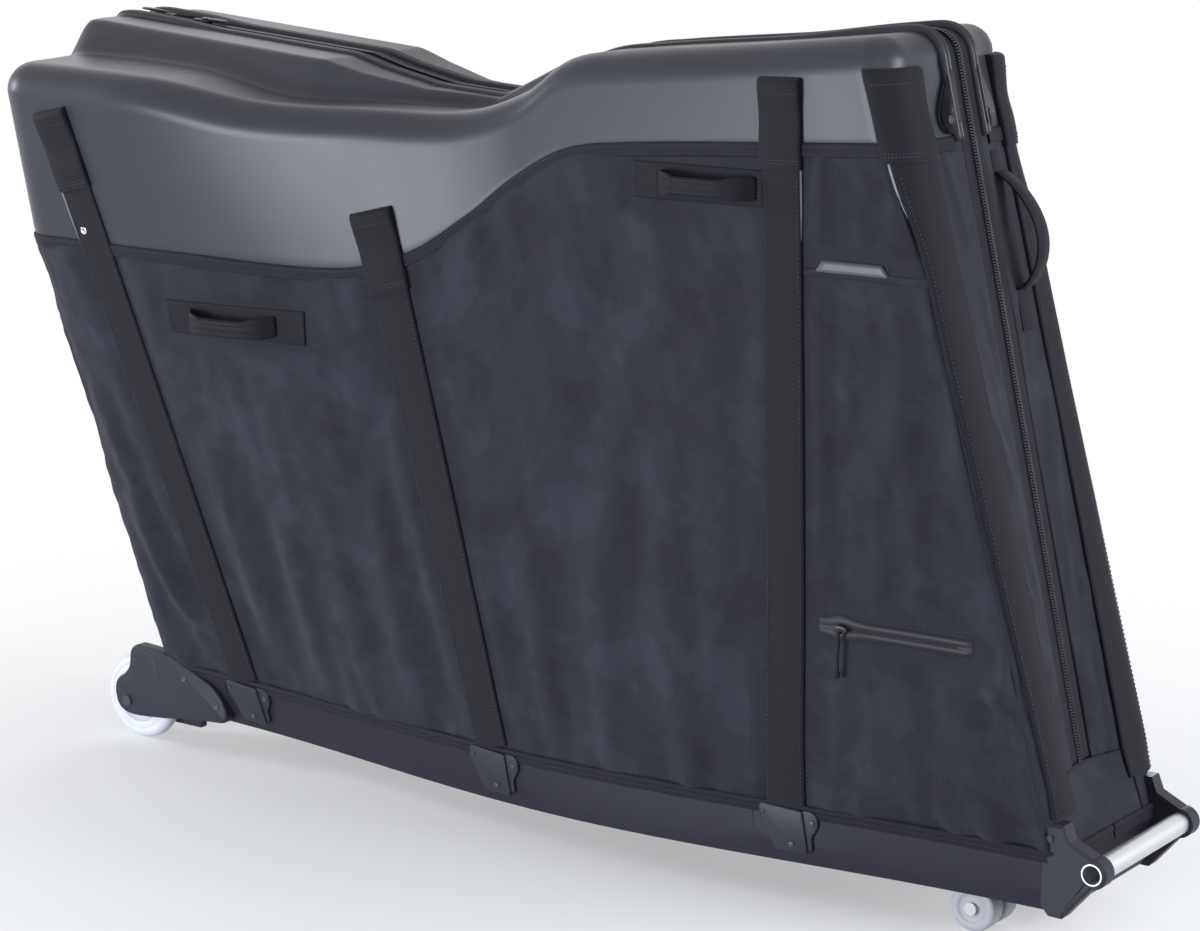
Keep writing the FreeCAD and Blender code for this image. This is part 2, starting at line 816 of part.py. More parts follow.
def holder_rivets():
    """Round heads on the ears and at the lower middle of each holder."""
    wide = holder_width / 2 + holder_ear_width / 2
    ear = holder_height / 2 - holder_ear_height / 2
    low = rivet_radius + rivet_radius - holder_height / 2
    heads = []
    for place in holder_places():
        for u, w, stand in ((-wide, ear, holder_ear_thickness), (wide, ear, holder_ear_thickness),
                            (0, low, holder_thickness)):
            head = Part.makeCylinder(rivet_radius, rivet_head, V(u, -stand, w), V(0, -1, 0))
            heads.append(placed(head, place))
    return heads


def rear_arm():
    """Moulded fork: an outer cheek that runs forward along the tub, an inner cheek and a bridge."""
    tail = rear_axle_reach + arm_tail
    low = arm_low_height
    corners = [(-tail, low + arm_tail / 2), (-tail + arm_tail / 2, low), (-arm_bridge_reach, low),
               (-arm_foot_reach, tub_bottom), (-arm_foot_reach, arm_foot_top),
               (-arm_bridge_reach + arm_bridge_run, seam_height - tub_top_gap),
               (-rear_seam_reach, arm_top_height), (-rear_axle_reach, arm_top_height - arm_tail / 2),
               (-tail, rear_wheel_radius + arm_tail)]
    trim = block(-cut_reach, cut_reach, cheek_outer_out, arm_face_out, 0, cut_reach)
    cheek = side_prism(corners).common(trim)
    outside = [e for e in cheek.Edges if all(abs(v.Y + arm_face_out) < axle_clearance for v in e.Vertexes)]
    cheek = cheek.makeChamfer(arm_edge_radius / 2, outside)
    inner = block(-tail, arm_bridge_run - arm_bridge_reach, cheek_inner_out - arm_cheek + skin_clearance,
                  cheek_inner_out, rear_wheel_radius * inner_cheek_low_share,
                  rear_wheel_radius * inner_cheek_top_share)
    bridge = block(-well_front_reach + skin_clearance - arm_bridge_run, skin_clearance - well_front_reach,
                   cheek_inner_out - arm_cheek + skin_clearance, cheek_outer_out + arm_cheek / 2,
                   tub_bottom, rear_wheel_radius * inner_cheek_top_share)
    inner = inner.cut(block(-well_front_reach - skin_clearance, cut_reach, 0, cut_reach, 0, cut_reach))
    arm = cheek.fuse(inner).fuse(bridge).removeSplitter()
    return arm.cut(cylinder_y(-rear_axle_reach, rear_wheel_radius, axle_radius + axle_clearance, 0, cut_reach))


def rear_axle():
    shank = cylinder_y(-rear_axle_reach, rear_wheel_radius, axle_radius,
                       cheek_inner_out - arm_cheek, arm_face_out)
    head = cylinder_y(-rear_axle_reach, rear_wheel_radius, axle_head_radius,
                      arm_face_out, arm_face_out + axle_head_height)
    return shank.fuse(head).removeSplitter()


def turned(wire, x, out, z):
    """Wheel from its half-section, spun about an axle along Y."""
    ring_solid = Part.Face(wire).revolve(V(0, 0, 0), V(0, 1, 0), 360)
    ring_solid.translate(V(x, -out, z))
    return ring_solid


def rear_tyre():
    """Tyre bevelled at both edges of its tread."""
    half, edge = rear_wheel_width / 2, rear_wheel_width / 3
    inner, radius = rear_hub_radius + axle_clearance, rear_wheel_radius
    corners = [V(inner, -half, 0), V(radius - edge, -half, 0), V(radius, edge - half, 0)]
    corners += [V(p.x, -p.y, 0) for p in reversed(corners)]
    return turned(Part.makePolygon(corners + corners[:1]), -rear_axle_reach, rear_wheel_out, rear_wheel_radius)


def rear_hub():
    half = rear_wheel_width / 2
    bore = axle_radius + axle_clearance
    face = half - rear_hub_recess
    corners = [V(bore, -half, 0), V(axle_head_radius, -half, 0), V(axle_head_radius, -face, 0),
               V(rear_hub_radius, -face, 0)]
    corners += [V(p.x, -p.y, 0) for p in reversed(corners)]
    return turned(Part.makePolygon(corners + corners[:1]), -rear_axle_reach, rear_wheel_out, rear_wheel_radius)


def corner_casting():
    """Front corner of the base with an eye for the tow tube."""
    low, top = casting_low_height, casting_top_height
    corners = [(casting_rear_x, tub_bottom), (casting_nose_x - eye_radius, low), (casting_nose_x, low),
               (tow_tube_x, tow_tube_height - eye_radius), (tow_tube_x, tow_tube_height + eye_radius),
               (casting_nose_x + casting_edge_radius, top - eye_radius), (casting_nose_x, top), (casting_rear_x, top)]
    trim = block(0, cut_reach, tow_half_width - casting_thickness, tow_half_width, 0, cut_reach)
    body = side_prism(corners).common(trim)
    eye = cylinder_y(tow_tube_x, tow_tube_height, eye_radius, tow_half_width - casting_thickness, tow_half_width)
    body = body.fuse(eye).removeSplitter()
    outside = [e for e in body.Edges if all(abs(v.Y + tow_half_width) < axle_clearance for v in e.Vertexes)]
    body = body.makeChamfer(casting_edge_radius / 2, outside)
    bore = cylinder_y(tow_tube_x, tow_tube_height, tow_tube_radius + tow_seat_clearance, 0, cut_reach)
    return body.cut(bore)


def casting_screw():
    return cylinder_y(casting_screw_x, casting_screw_height, rivet_radius, tow_half_width, tow_half_width + rivet_head)


def tow_handle():
    outer = cylinder_y(tow_tube_x, tow_tube_height, tow_tube_radius, -tow_half_width, tow_half_width)
    return outer.cut(cylinder_y(tow_tube_x, tow_tube_height, tow_tube_radius - tow_tube_wall, -cut_reach, cut_reach))


front_wheel_half_pitch = front_bracket_web / 2 + front_wheel_gap + front_wheel_width / 2


def front_bracket():
    """Web between twin wheels, with a foot against the tub."""
    half = front_bracket_length / 2
    corners = [(front_wheel_x - half, tub_bottom), (front_wheel_x - front_wheel_radius / 2, front_wheel_radius / 2),
               (front_wheel_x + front_wheel_radius / 2, front_wheel_radius / 2), (front_wheel_x + half, tub_bottom)]
    web = side_prism(corners).common(block(0, cut_reach, front_pair_out - front_bracket_web / 2,
                                           front_pair_out + front_bracket_web / 2, 0, cut_reach))
    foot = block(front_wheel_x - half, front_wheel_x + half, front_pair_out - front_wheel_width / 2,
                 front_pair_out + front_wheel_width / 2, tub_bottom - front_bracket_foot, tub_bottom)
    bracket = web.fuse(foot).removeSplitter()
    return bracket.cut(cylinder_y(front_wheel_x, front_wheel_radius, axle_radius, 0, cut_reach))


def front_axle():
    reach = front_bracket_web / 2 + front_wheel_gap + front_wheel_width
    shank = cylinder_y(front_wheel_x, front_wheel_radius, axle_radius, front_pair_out - reach, front_pair_out + reach)
    for out in (front_pair_out - reach - front_axle_end, front_pair_out + reach):
        end = cylinder_y(front_wheel_x, front_wheel_radius, axle_head_radius, out, out + front_axle_end)
        shank = shank.fuse(end)
    return shank.removeSplitter()


def front_wheel(side):
    """One of the twin wheels: side is +1 for the outer one and -1 for the inner one."""
    middle = front_pair_out + side * front_wheel_half_pitch
    half = front_wheel_width / 2 - axle_clearance
    roller = cylinder_y(front_wheel_x, front_wheel_radius, front_wheel_radius, middle - half, middle + half)
    return roller.cut(cylinder_y(front_wheel_x, front_wheel_radius, axle_radius + axle_clearance, 0, cut_reach))


rail_low = tub_bottom + tub_floor
rail_top = rail_low + rail_height


def stand_rail():
    """Slotted aluminium channel down the middle of the tub."""
    half = rail_width / 2
    outer = block(rail_rear_x, rail_front_x, -half, half, rail_low, rail_top)
    hollow = block(rail_rear_x - overrun, rail_front_x + overrun, rail_wall - half, half - rail_wall,
                   rail_low + rail_wall, rail_top - rail_wall)
    slot = block(rail_rear_x - overrun, rail_front_x + overrun, -rail_slot_width / 2, rail_slot_width / 2,
                 rail_top - rail_wall - overrun, rail_top + overrun)
    return outer.cut(hollow).cut(slot)


def stand_post(x, axle_half, key_play):
    """Post on the rail with a cross axle that takes the place of a wheel's axle."""
    low = rail_top + key_play
    foot = block(x - post_length / 2, x + post_length / 2, -post_width / 2, post_width / 2, low, low + post_web)
    web = block(x - post_web, x + post_web, -post_width / 2, post_width / 2, low, low + post_height)
    axle = cylinder_y(x, low + post_height, dummy_axle_radius, -axle_half, axle_half)
    boss = cylinder_y(x, low + post_height, dummy_axle_radius + post_web, -post_width / 2, post_width / 2)
    key_half = rail_slot_width / 2 - rail_play
    key = block(x - post_length / 2, x + post_length / 2, -key_half, key_half, rail_top - rail_wall, low)
    return foot.fuse(web).fuse(boss).fuse(axle).fuse(key).removeSplitter()


def pocket_welt_frame():
    """Welt of the side pocket with a slit for its zip."""
    low = pocket_height - pocket_welt / 2
    high = pocket_height + pocket_welt / 2
    skin = layer(skin_clearance, skin_clearance + patch_thickness)
    welt = skin.common(block(pocket_rear_x, pocket_front_x, 0, cut_reach, low, high))
    run = pocket_welt / 2
    return welt.cut(block(pocket_rear_x + run, pocket_front_x - run, 0, cut_reach,
                          pocket_height - pocket_slit / 2, pocket_height + pocket_slit / 2))


def pocket_slider_place():
    x = pocket_rear_x + pocket_welt / 2 + pocket_slider_start
    place = wall_frame(x, pocket_height, pocket_front_x - pocket_welt / 2 - pocket_slider_start - x)
    lift = skin_clearance + patch_thickness + pocket_slider_clearance
    place.Base = place.multVec(V(0, -lift, 0))
    return place


def pocket_slider():
    half = pocket_slider_length / 2
    body = Part.makeBox(pocket_slider_length, pocket_slider_height, pocket_slider_width,
                        V(-half, -pocket_slider_height, -pocket_slider_width / 2))
    edges = [e for e in body.Edges if abs(e.Vertexes[0].Y - e.Vertexes[-1].Y) > pocket_slider_height / 2]
    return placed(body.makeFillet(pocket_slider_width / 3, edges), pocket_slider_place())


def pocket_pull():
    """Knotted cord that hangs from the pocket's slider."""
    stand = pocket_slider_height + skin_clearance + pocket_pull_radius
    cord = Part.makeCylinder(pocket_pull_radius, pocket_pull_length, V(0, -stand, 0), V(0, 0, -1))
    knot = Part.makeCylinder(pocket_pull_radius * math.sqrt(2), pocket_pull_radius * 3,
                             V(0, -stand, -pocket_pull_length), V(0, 0, -1))
    return placed(cord.fuse(knot).removeSplitter(), pocket_slider_place())


def ridge_frame(share):
    """Placement on the closed zip, on the centre plane: X along it, Z out of it."""
    x = share * top_length - rear_centre_reach
    step = overrun
    forward = V(step + step, 0, ridge(x + step) - ridge(x - step)).normalize()
    upward = V(-forward.z, 0, forward.x)
    base = V(x, 0, ridge(x) - zip_sink) + upward * slider_clearance
    return FreeCAD.Placement(base, FreeCAD.Rotation(forward, V(0, 1, 0), upward))


def zip_slider(share):
    half = slider_width / 2
    body = Part.makeBox(slider_length, slider_width, slider_height, V(-slider_length / 2, -half, 0))
    edges = [e for e in body.Edges if abs(e.Vertexes[0].Z - e.Vertexes[-1].Z) > slider_height / 2]
    return placed(body.makeFillet(half / 2, edges), ridge_frame(share))


def zip_pull(share, direction):
    """Flat pull that lies on its slider and points along the zip."""
    half = pull_width / 2
    low = slider_height + slider_clearance
    body = Part.makeBox(pull_length, pull_width, pull_thickness, V(0, -half, low))
    if direction < 0:
        body.translate(V(-pull_length, 0, 0))
    edges = [e for e in body.Edges if abs(e.Vertexes[0].Z - e.Vertexes[-1].Z) > pull_thickness / 2]
    return placed(body.makeFillet(half / 2, edges), ridge_frame(share))


def save(name, shape):
    if isinstance(shape, list):
        solids = [solid for piece in shape for solid in piece.Solids]
        shape = Part.makeCompound(solids)
    shape.exportStep("parts/" + name + ".step")
    print(name, len(shape.Solids), round(shape.Volume))


def save_pair(name, shape):
    """A piece of the right half and its mirror image on the left."""
    if isinstance(shape, list):
        shape = Part.makeCompound([solid for piece in shape for solid in piece.Solids])
    save("right_" + name, shape)
    save("left_" + name, mirrored(shape))


def both(shape):
    return [shape, mirrored(shape)]


def build_halves():
    cloth = half_cloth()
    front = cloth.common(front_of(front_panel_inset))
    rear = cloth.common(rear_of(rear_panel_inset))
    side = cloth.cut(front_of(front_panel_inset)).cut(rear_of(rear_panel_inset))
    save_pair("shell", half_shell())
    save_pair("rim", half_rim())
    save_pair("side_panel", side)
    save_pair("front_panel", front)
    save_pair("rear_panel", rear)
    save_pair("binding", half_binding())
    save_pair("zip_tape", half_zip_tape())
    save_pair("stays", half_stays())
    save_pair("stay_sleeves", half_sleeves())
    save_pair("stay_caps", half_caps())
    save_pair("handle_rear", side_handle(side_handle_shares[0]))
    save_pair("handle_front", side_handle(side_handle_shares[1]))
    save("left_end_handle", end_handle())
    save("right_pocket", pocket_welt_frame())


def build_base():
    arm = rear_arm()
    casting = corner_casting()
    holders = stay_holders()
    save("base_tray", base_tray([arm, casting] + holders))
    front_low, rear_low = lower_panels()
    for piece in both(arm):
        rear_low = rear_low.cut(piece)
    save("front_lower_panel", front_low)
    save("rear_lower_panel", rear_low)
    save("rear_wheel_arm_right", arm)
    save("rear_wheel_arm_left", mirrored(arm))
    save("rear_axles", both(rear_axle()))
    save("front_corner_right", casting)
    save("front_corner_left", mirrored(casting))
    save("corner_screws", both(casting_screw()))
    save("tow_handle", tow_handle())
    save("stay_holders_right", holders)
    save("stay_holders_left", [mirrored(piece) for piece in holders])
    rivets = holder_rivets()
    save("holder_rivets", rivets + [mirrored(piece) for piece in rivets])
    save("front_wheel_bracket_right", front_bracket())
    save("front_wheel_bracket_left", mirrored(front_bracket()))
    save("front_axles", both(front_axle()))
    save("stand_rail", stand_rail())
    save("fork_post", stand_post(fork_post_x, fork_axle_half_length, 0.0))


def build_moving():
    save("rear_post", stand_post(rear_post_x, frame_axle_half_length, rail_play))
    for side, turn in (("right", lambda shape: shape), ("left", mirrored)):
        save("rear_tyre_" + side, turn(rear_tyre()))
        save("rear_hub_" + side, turn(rear_hub()))
        save("front_wheel_" + side + "_outer", turn(front_wheel(1)))
        save("front_wheel_" + side + "_inner", turn(front_wheel(-1)))
    save("front_zip_slider", zip_slider(front_slider_share))
    save("front_zip_pull", zip_pull(front_slider_share, 1))
    save("rear_zip_slider", zip_slider(rear_slider_share))
    save("rear_zip_pull", zip_pull(rear_slider_share, -1))
    save("pocket_slider", pocket_slider())
    save("pocket_pull", pocket_pull())


def main():
    os.makedirs("parts", exist_ok=True)
    build_halves()
    build_base()
    build_moving()


main()
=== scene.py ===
# %% [markdown]
# # A wheeled travel case for a bicycle
# The case has a moulded roof in two mirrored halves, fabric walls that flat stays hold up, and a
# moulded base on wheels. The CAD frame brings the solids and the bodies they ride on; this lesson
# dresses it, piece by piece.

# %% Load the frame
import math

import bpy
import numpy as np
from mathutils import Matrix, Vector, noise


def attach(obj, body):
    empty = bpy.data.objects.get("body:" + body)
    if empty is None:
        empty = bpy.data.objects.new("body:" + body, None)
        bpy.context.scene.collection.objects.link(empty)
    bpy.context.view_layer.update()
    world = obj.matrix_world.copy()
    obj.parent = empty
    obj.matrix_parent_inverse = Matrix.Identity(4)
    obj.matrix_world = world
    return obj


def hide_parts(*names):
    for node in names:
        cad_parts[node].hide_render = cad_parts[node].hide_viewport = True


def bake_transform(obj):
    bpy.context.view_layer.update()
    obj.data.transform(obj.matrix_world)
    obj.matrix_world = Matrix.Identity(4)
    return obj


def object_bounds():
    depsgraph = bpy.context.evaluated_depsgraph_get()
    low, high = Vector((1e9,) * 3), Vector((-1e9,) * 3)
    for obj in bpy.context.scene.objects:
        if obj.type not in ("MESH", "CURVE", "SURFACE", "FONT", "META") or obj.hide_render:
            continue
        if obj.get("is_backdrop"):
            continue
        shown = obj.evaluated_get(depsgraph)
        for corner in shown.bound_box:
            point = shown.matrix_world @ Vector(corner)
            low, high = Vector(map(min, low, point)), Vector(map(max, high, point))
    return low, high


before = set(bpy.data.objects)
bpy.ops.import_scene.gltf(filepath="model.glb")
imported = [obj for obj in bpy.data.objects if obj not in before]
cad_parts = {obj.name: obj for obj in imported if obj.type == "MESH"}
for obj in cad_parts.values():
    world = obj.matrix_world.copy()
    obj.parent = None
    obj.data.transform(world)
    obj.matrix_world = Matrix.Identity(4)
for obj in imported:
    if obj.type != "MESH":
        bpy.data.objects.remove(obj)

cad_low, cad_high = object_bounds()
print("CAD box", [round(v, 4) for v in cad_low], [round(v, 4) for v in cad_high])

# %% [markdown]
# ## The form of the case
# The walls lean and flare: narrow at the base seam, wide at the rear of the roof. They could be
# sculpted by hand, but the same few plan curves that drive the solids, written for whole arrays,
# keep every strap and seam on the wall. Lengths here are millimetres, and only the mesh maker turns
# them into metres.

# %% Plan curves of the walls
MM = 0.001
seam_z, zip_foot_z, middle_z, width_z = 104.0, 165.0, 602.0, 780.0
rear_seam, rear_corner, rear_centre = 530.0, 619.0, 672.5
front_seam, front_top = 630.0, 446.0
case_height, shoulder = 872.0, 32.0
rear_turn, low_front_turn, nose_turn = 42.0, 20.0, 38.0
inner_half, zip_half, rim_half = 66.5, 20.0, 32.0
end_out, middle_out, corner_sag = 102.0, 145.0, 9.0
nose_out, taper, flare, flare_run = 113.0, 28.0, 105.0, 470.0
nose_z, nose_rise, nose_bulge, front_hollow = 640.0, 110.0, 8.0, 20.0
top_length, body_length, span = rear_centre + front_top, rear_centre + front_seam, rear_corner + front_top


def lerp(a, b, t):
    return a + (b - a) * t


def ease(t):
    t = np.clip(t, 0.0, 1.0)
    return t * t * (3 - 2 * t)


def unit(v):
    return v / np.maximum(np.linalg.norm(v, axis=-1, keepdims=True), 1e-9)


def smooth_curve(table):
    """A smooth profile through given points, as a function of arrays."""
    xs, ys = np.array(table, float).T
    before = np.maximum(np.arange(len(xs)) - 1, 0)
    after = np.minimum(np.arange(len(xs)) + 1, len(xs) - 1)
    slopes = (ys[after] - ys[before]) / (xs[after] - xs[before])

    def value(x):
        i = np.clip(np.searchsorted(xs, x) - 1, 0, len(xs) - 2)
        run = xs[i + 1] - xs[i]
        t = np.clip((x - xs[i]) / run, 0, 1)
        ends = (1 + 2 * t) * (1 - t) ** 2 * ys[i] + t * t * (3 - 2 * t) * ys[i + 1]
        return ends + run * (t * (1 - t) ** 2 * slopes[i] - t * t * (1 - t) * slopes[i + 1])

    return value


shelf_shares = smooth_curve([(0, 0.914), (0.22, 0.904), (0.334, 0.88), (0.437, 0.876), (0.535, 0.877),
                             (0.603, 0.906), (0.648, 0.945), (0.70, 0.957), (0.852, 0.976), (1.0, 0.997)])
ridge_shares = np.array([(0, 0.951), (0.061, 0.952), (0.35, 0.922), (0.39, 0.908), (0.452, 0.892),
                         (0.532, 0.885), (0.614, 0.936), (0.69, 0.936)]).T
wave_shares = [(-0.1, 0.694), (0.214, 0.69), (0.365, 0.685), (0.426, 0.71), (0.475, 0.757),
               (0.518, 0.807), (0.564, 0.844), (0.618, 0.857), (0.748, 0.87), (1.1, 0.9)]
wave = smooth_curve([(a * body_length - rear_centre, b * case_height) for a, b in wave_shares])


def top_share(x):
    return (x + rear_centre) / top_length


def shelf(x):
    return case_height * shelf_shares(top_share(x))


def ridge(share):
    return case_height * np.interp(share, *ridge_shares)


def fullness(z):
    """Share of the fabric's sag at a height."""
    low = np.maximum(z - seam_z, 0) / (zip_foot_z - seam_z)
    return np.where(z < zip_foot_z, low, np.maximum(middle_z - z, 0) / (middle_z - zip_foot_z))


def side_plan(s, z):
    """Place on the side wall, as x and distance out."""
    f = (z - seam_z) / (width_z - seam_z)
    rear_f = np.minimum((z - seam_z) / (middle_z - seam_z), 1.0)
    rear_x = -lerp(rear_seam, rear_corner, rear_f)
    low_out = lerp(end_out, middle_out, np.sin(np.pi * s) ** 2) + corner_sag * fullness(z) * s ** 4
    step = 1 - ease((lerp(-rear_corner, front_top, s) + flare_run) / flare_run)
    top_out = nose_out + taper * (1 - s) + flare * step
    return lerp(rear_x, lerp(front_seam, front_top, f), s), lerp(low_out, top_out, f)


def front_turn(z):
    """Radius of the front corner: crisp in the fabric, round in the moulded nose."""
    return lerp(low_front_turn, nose_turn, ease((z - nose_z) / nose_rise))


print("roof heights", [round(float(shelf(np.float64(x)))) for x in (-600, -100, 200, 400)])

# %% [markdown]
# One number, c, walks round the right half at any height: 0 is the middle of the rear end, 2 to 3
# its corner, 3 to 4 the long side, 4 to 5 the front corner and 7 the middle of the front end. A
# point of the wall is then wall_xy(c, z), and everything sewn on the wall is placed through it.

# %% Walk round the wall
join_share = 0.08


def arrays(*values):
    return np.broadcast_arrays(*(np.asarray(v, float) for v in values))


def wall_xy(c, z):
    """Place (x, out) of the wall; the long side eases into its corners at both ends."""
    c, z = arrays(c, z)
    f = (z - seam_z) / (width_z - seam_z)
    rear_x, rear_out = side_plan(0.0, z)
    front_x, front_out = side_plan(1.0, z)
    turn = front_turn(z)
    rear_flat, front_flat = rear_out - rear_turn, front_out - turn
    o = np.where(c < 1, c * inner_half, lerp(inner_half, rear_flat, c - 1))
    rear = lerp(lerp(-rear_seam, -rear_centre, f), rear_x, ease(o / rear_flat)), o
    k = (c - 2) * np.pi / 2
    corner = rear_x + rear_turn * (1 - np.cos(k)), rear_out - rear_turn * (1 - np.sin(k))
    p = np.clip(c - 3, 0, 1)
    first, last = rear_turn / span, 1 - turn / span
    side_x, side_out = side_plan(lerp(first, last, p), z)
    start_x, start_out = side_plan(first, z)
    stop_x, stop_out = side_plan(last, z)
    near, far = 1 - ease(p / join_share), ease((p - (1 - join_share)) / join_share)
    side = (side_x + near * (rear_x + rear_turn - start_x) + far * (front_x - turn - stop_x),
            side_out + near * (rear_out - start_out) + far * (front_out - stop_out))
    k = (c - 4) * np.pi / 2
    nose = front_x - turn * (1 - np.sin(k)), front_out - turn * (1 - np.cos(k))
    q = np.where(c < 6, lerp(front_flat, inner_half, c - 5), inner_half * (7 - c))
    upper = np.maximum(z - middle_z, 0) / (width_z - middle_z)
    bulge = nose_bulge * upper - front_hollow * fullness(z)
    front = front_x + bulge * ease(1 - q / front_flat), q
    legs = [c < 2, c < 3, c < 4, c < 5]
    return tuple(np.select(legs, [rear[i], corner[i], side[i], nose[i]], front[i]) for i in (0, 1))


def wall(c, z, lift=0.0):
    """Points of the right wall, lifted off it along its outward normal."""
    c, z, lift = arrays(c, z, lift)

    def at(c, z):
        x, out = wall_xy(c, z)
        return np.stack([x, -out, z], -1)

    across, up = at(c + 0.002, z) - at(c - 0.002, z), at(c, z + 1) - at(c, z - 1)
    return at(c, z) + unit(np.cross(across, up)) * lift[..., None]


def quarter(turn, distance, radius):
    """Share of a corner's quarter turn at a distance from where it ends."""
    return turn(1 - np.clip(distance / radius, 0, 1)) * 2 / np.pi


def side_c(x, z):
    """The walk's number for a place (x, z) seen from the side."""
    x, z = arrays(x, z)
    rear_x, front_x, turn = side_plan(0.0, z)[0], side_plan(1.0, z)[0], front_turn(z)
    first, last = rear_turn / span, 1 - turn / span
    p = ((x - rear_x) / (front_x - rear_x) - first) / (last - first)
    behind, ahead = quarter(np.arccos, x - rear_x, rear_turn), quarter(np.arcsin, front_x - x, turn)
    corners = [x < rear_x + rear_turn, x > front_x - turn]
    return np.select(corners, [2 + behind, 4 + ahead], 3 + np.clip(p, 0, 1))


def front_c(out, z):
    """The walk's number for a place (out, z) seen from the front."""
    out, z = arrays(out, z)
    front_out, turn = side_plan(1.0, z)[1], front_turn(z)
    flat = front_out - turn
    corner = 4 + quarter(np.arccos, front_out - out, turn)
    outer = 6 - (out - inner_half) / np.maximum(flat - inner_half, 1e-6)
    return np.select([out <= inner_half, out <= flat], [7 - out / inner_half, outer], corner)


print("side at mid height", np.round(wall(3.5, 400.0), 1))

# %% [markdown]
# The roof has a shelf at each x, and a bar stands on it along the zip. The bar narrows into the
# valley, slopes at its rear end and sinks into the shelf ahead of the valley. Soft minimum and
# maximum round every meeting of the two.

# %% Height of the roof
bar_crests, bar_runs, bar_foot = (88.0, 46.0), (46.0, 16.0), 30.0
bar_narrows, narrowing_run = 0.33, 0.2
bar_end, bar_fade, bar_sink = 0.66, 0.03, 60.0
rear_slope, rear_start = 2.2, 44.0
bar_round, rear_round, foot_round = 9.0, 12.0, 13.0


def soft_high(a, b, k):
    h = np.clip(0.5 + 0.5 * (a - b) / k, 0, 1)
    return lerp(b, a, h) + k * h * (1 - h)


def soft_low(a, b, k):
    return -soft_high(-a, -b, k)


def roof_height(x, out):
    share, base = top_share(x), shelf(x)
    narrowing = ease((share - bar_narrows) / narrowing_run)
    top = ridge(share)
    crest, run = lerp(*bar_crests, narrowing), lerp(*bar_runs, narrowing)
    drop = top - np.minimum(base, top) + bar_foot
    raised = soft_low(top, top - (out - crest) / run * drop, bar_round)
    raised = soft_low(raised, top - rear_slope * (-rear_centre + rear_start - x), rear_round)
    raised = np.where(share > bar_end, raised - bar_sink * (share - bar_end) / bar_fade, raised)
    return soft_high(base, raised, foot_round)


print("roof beside the zip", [round(float(roof_height(np.float64(x), 30.0))) for x in (-500, -100, 300)])

# %% [markdown]
# ## Meshes
# Each piece is made from grids of points: rows go up, columns go forwards. A grid is easy to bend,
# to stitch and to give flat coordinates in metres, which the weaves use. The left half is the right
# one with y turned over.

# %% The mesh maker
mirror = (1, -1, 1)


class Mesh:
    """Gathers points, faces and flat coordinates, then becomes one object."""

    def __init__(self):
        self.points, self.faces, self.flat, self.count = [], [], [], 0

    def add(self, points, faces, flat=None):
        points = np.asarray(points, float).reshape(-1, 3)
        flat = np.zeros((len(points), 2)) if flat is None else np.asarray(flat, float)
        self.points.append(points)
        self.flat.append(flat.reshape(-1, 2))
        self.faces += [tuple(i + self.count for i in f) for f in faces]
        self.count += len(points)
        return self

    def join(self, other, left=False):
        """Takes in another mesh, turned over for the left half."""
        points, faces = np.concatenate(other.points), other.faces
        if left:
            points, faces = points * mirror, [f[::-1] for f in faces]
        return self.add(points, faces, np.concatenate(other.flat))

    def grid(self, points, flat=None, around=False, keep=None):
        """A grid of (rows, columns, 3) points; around joins its last column to its first."""
        rows, cols = points.shape[:2]
        r, c = np.mgrid[:rows - 1, :cols if around else cols - 1]
        d = (c + 1) % cols
        faces = np.stack([r * cols + c, r * cols + d, (r + 1) * cols + d, (r + 1) * cols + c], -1)
        faces = faces.reshape(-1, 4) if keep is None else faces[keep]
        return self.add(points, faces.tolist(), lengths(points) if flat is None else flat)

    def tube(self, rings):
        """Rings of points along a run, joined round, with flat ends."""
        rows, cols = rings.shape[:2]
        start = self.count
        self.grid(rings, around=True)
        self.faces.append(tuple(start + c for c in reversed(range(cols))))
        self.faces.append(tuple(start + (rows - 1) * cols + c for c in range(cols)))
        return self

    def build(self, name, left=False):
        used = np.unique(np.concatenate([np.array(f) for f in self.faces]))
        new_place = np.zeros(self.count, int)
        new_place[used] = np.arange(len(used))
        points, flat = (np.concatenate(rows)[used] * MM for rows in (self.points, self.flat))
        faces = [tuple(new_place[list(f)].tolist()) for f in self.faces]
        if left:
            points, faces = points * mirror, [f[::-1] for f in faces]
        mesh = bpy.data.meshes.new(name)
        mesh.from_pydata(points.tolist(), [], faces)
        layer = mesh.uv_layers.new(name="flat")
        loops = np.zeros(len(mesh.loops), np.int32)
        mesh.loops.foreach_get("vertex_index", loops)
        layer.data.foreach_set("uv", flat[loops].astype(np.float32).ravel())
        shade(mesh, True)
        mesh.validate()
        made = bpy.data.objects.new(name, mesh)
        bpy.context.scene.collection.objects.link(made)
        return made


print("mesh maker ready")

# %% Runs, walls and edges
def shade(mesh, smooth):
    mesh.polygons.foreach_set("use_smooth", np.full(len(mesh.polygons), smooth))


def travelled(points):
    """Distance from the start at each point of a run."""
    return np.concatenate([[0], np.cumsum(np.linalg.norm(np.diff(points, axis=0), axis=1))])


def lengths(points):
    """Flat coordinates of a grid from its middle row and column, in millimetres."""
    rows, cols = points.shape[:2]
    u, v = travelled(points[rows // 2]), travelled(points[:, cols // 2])
    return np.stack(np.broadcast_arrays(u[None, :], v[:, None]), -1)


def walk(*legs):
    """Numbers along the walk, from (first, last, count) legs that meet end to end."""
    runs = [np.linspace(*leg) for leg in legs]
    return np.concatenate([run[:-1] for run in runs[:-1]] + runs[-1:])


def circle(count):
    return np.linspace(0, 2 * math.pi, count, endpoint=False)


def thicken(piece, depth):
    """Gives a single skin its wall, on the inside."""
    solid = piece.modifiers.new("wall", "SOLIDIFY")
    solid.thickness, solid.offset = depth * MM, -1.0
    return piece


